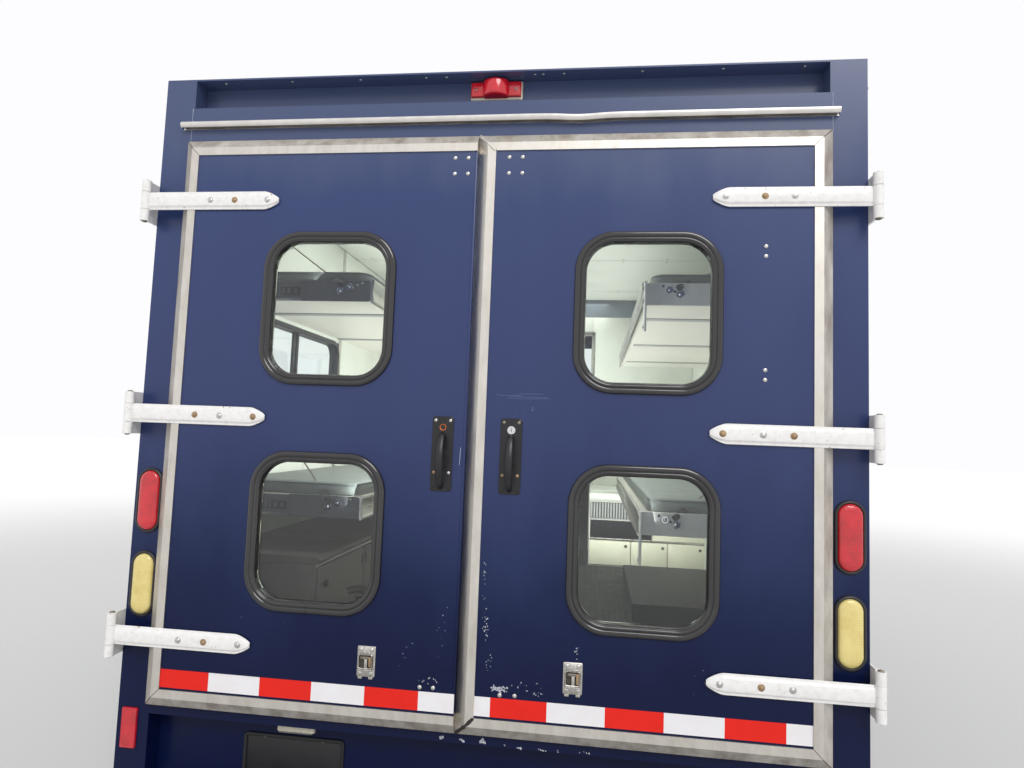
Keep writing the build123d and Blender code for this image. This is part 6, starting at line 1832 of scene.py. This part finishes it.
def side_trim():
    """Along each side: a rub rail with a rounded section, rows of rivets over the ribs, drip moulding under
    the roof, half-round lips along the arcs of the wheel arches, red and amber side lamps on rubber, and a
    fuel filler with a turned cap."""
    shell = Shell()
    half_turn = np.linspace(0, math.pi, 9)
    for side in (-1, 1):
        face = side * WALL_OUT
        for y0, y1, z, tall, proud, material in ((-2740, -1730, 700, 46, 11, "bright_aluminium"),
                                                 (-800, 860, 700, 46, 11, "bright_aluminium"),
                                                 (-2750, 1980, 2520, 22, 12, "navy_enamel")):
            y = np.array((y0, y0 + 6, y1 - 6, y1))[:, None]
            rows = joined(face + side * (proud * np.sin(half_turn) - 0.4), y,
                          z + tall / 2 * np.cos(half_turn))
            for end in (0, -1):
                rows[end] += (rows[end].mean(0) - rows[end]) * 0.5
            shell.rings(rows, material)
        for y in range(-2700, 880, 290):
            for z in range(760, 2500, 75):
                by_window = -2360 < y < -1340 and 1530 < z < 1970
                if not by_window and math.hypot(y - REAR_AXLE, z - WHEEL_RADIUS) >= 520:
                    screw_head(shell, face, y, z, 4.2, 1.6, "navy_enamel", (side, 0, 0))
        for y in range(-2680, 840, 260):
            if not -1740 < y < -800:
                screw_head(shell, face + side * 10.4, y, 700, 6, 2.2, "dull_screw", (side, 0, 0))
        for middle, radius, rise in ((REAR_AXLE, 438.0, 110.0), (FRONT_AXLE, 458.0, 190.0)):
            t = np.linspace(math.asin(rise / radius), math.pi - math.asin(110.0 / radius), 41)
            arch = spread(face, middle + radius * np.cos(t), WHEEL_RADIUS + radius * np.sin(t))
            lip = np.stack([7 * np.cos(half_turn), 7 * np.sin(half_turn) - 0.4], 1)
            swept(shell, arch, lip, "navy_enamel", up=(side, 0, 0))
    shell.write("side_trim", "van", 30.0, "navy_enamel")
    lamps = Shell()
    for side in (-1, 1):
        for y, z, lens in ((-2640, 620, "prism_red"), (700, 620, "prism_amber"), (-2640, 2470, "prism_red"),
                           (1800, 2470, "prism_amber")):
            for width, height, low, high, material in ((104, 44, 0, 6, "moulded_black"),
                                                       (94, 34, 4, 20, lens)):
                softened(lamps, lambda flat, out: on_side(flat, y, z, side * (WALL_OUT + out)), width,
                         height, 14, ((0, low - 0.5), (0, high - 4), (2, high - 1.2), (6, high),
                                      (13, high + 0.4)), material)
    softened(lamps, lambda flat, out: on_side(flat, 180, 900, -(WALL_OUT + out)), 190, 150, 16,
             ((0, -0.5), (0, 3), (1, 4.4), (6, 4.8), (40, 4.8)), "navy_enamel")
    turned(lamps, (-1047, 180, 900), (-1, 0, 0),
           ((0, 42), (6, 42), (9, 38), (10, 30), (16, 28), (18, 22), (18, 1)), "chrome", 32)
    lamps.write("side_lamps", "van", 35.0, "black_enamel")


LEAF_OUT, LEAF_IN = 996.0, 966.0


def cab_doors(name, side):
    """Cab door: a flat rubber round its glass, a recessed pull as a shallow dished plate, a lock, and
    inside a grab rail bent from tube with flanged feet."""
    shell = Shell()
    outer, inner = side * LEAF_OUT, side * LEAF_IN
    for face, out, section in (
            (outer, side, ((-22, -0.5), (-22, 1.6), (-19, 2.3), (-6, 2.6), (0, 1.6), (3, 0.4), (3, -9),
                           (0, -9), (-1, -2))),
            (inner, -side, ((-22, -0.5), (-22, 4), (-18, 8), (-8, 9), (0, 7), (3, 4), (3, -9), (0, -9),
                            (-1, -2)))):
        softened(shell, lambda flat, proud: on_side(flat, 1270, 1800, face + out * proud), 530, 740, 50,
                 section, "window_rubber", 7, drawn=1, loop=True)
    softened(shell, lambda flat, proud: on_side(flat, 960, 1240, outer + side * proud), 60, 170, 14,
             ((0, -0.5), (0, 1.6), (1, 2.4), (8, 2.4), (11, 0.6), (20, 0.4)), "chrome", 4)
    turned(shell, (outer, 960, 1350), (side, 0, 0), ((-1, 12), (1.6, 12), (2.4, 10), (2.4, 5), (1.6, 1)),
           "chrome", 24)
    z, off = np.array(((1120, 2), (1122, 20), (1134, 34), (1154, 40), (1260, 40), (1366, 40), (1386, 34),
                       (1398, 20), (1400, 2))).T
    swept(shell, spread(inner - side * off, 985, z), circle(9, 14), "bright_aluminium", up=(0, 1, 0))
    for z in (1120, 1400):
        turned(shell, (inner, 985, z), (-side, 0, 0), ((-1, 20), (3, 20), (4.5, 18), (4.5, 9)), "chrome", 24)
    softened(shell, lambda flat, proud: on_side(flat, 1270, 900, inner - side * proud), 640, 560, 30,
             ((0, -0.5), (0, 3), (1.5, 5), (20, 5.4), (60, 5.6)), "cream_panel")
    for y in (980, 1270, 1560):
        for z in (640, 1160):
            screw_head(shell, inner - side * 5.2, y, z, 6, 2.4, "dull_screw", (-side, 0, 0))
    shell.write(f"cab_door_fittings_{name}", f"cab_door_{name}", 35.0, "black_enamel")


def step_finish():
    """Rear step: rows of raised studs, each a low cap of a sphere, that
    leave the hole in the middle free, and end buffers of rubber."""
    shell = Shell()
    for row in range(5):
        for k in range(58):
            x = -969 + 34 * k + (17 if row % 2 else 0)
            y = -2972 + 36 * row
            if math.hypot(x, y + 2895) >= 34 and abs(x) <= 985:
                turned(shell, (x, y, 470), (0, 0, 1), ((-0.4, 9), (0.8, 8), (2.2, 5.5), (2.8, 1)),
                       "galvanised_tread", 9)
    for side in (-1, 1):
        softened(shell, lambda flat, proud: on_rear(flat, side * 960, 435, -3000 - proud), 50, 60, 8,
                 ((0, -0.5), (0, 5), (2, 8), (8, 9)), "moulded_black", 4)
    shell.write("rear_step_studs", "van", 40.0, "galvanised_tread")


side_trim()
for side_name, side_sign in DOOR_SIDES:
    cab_doors(side_name, side_sign)
step_finish()
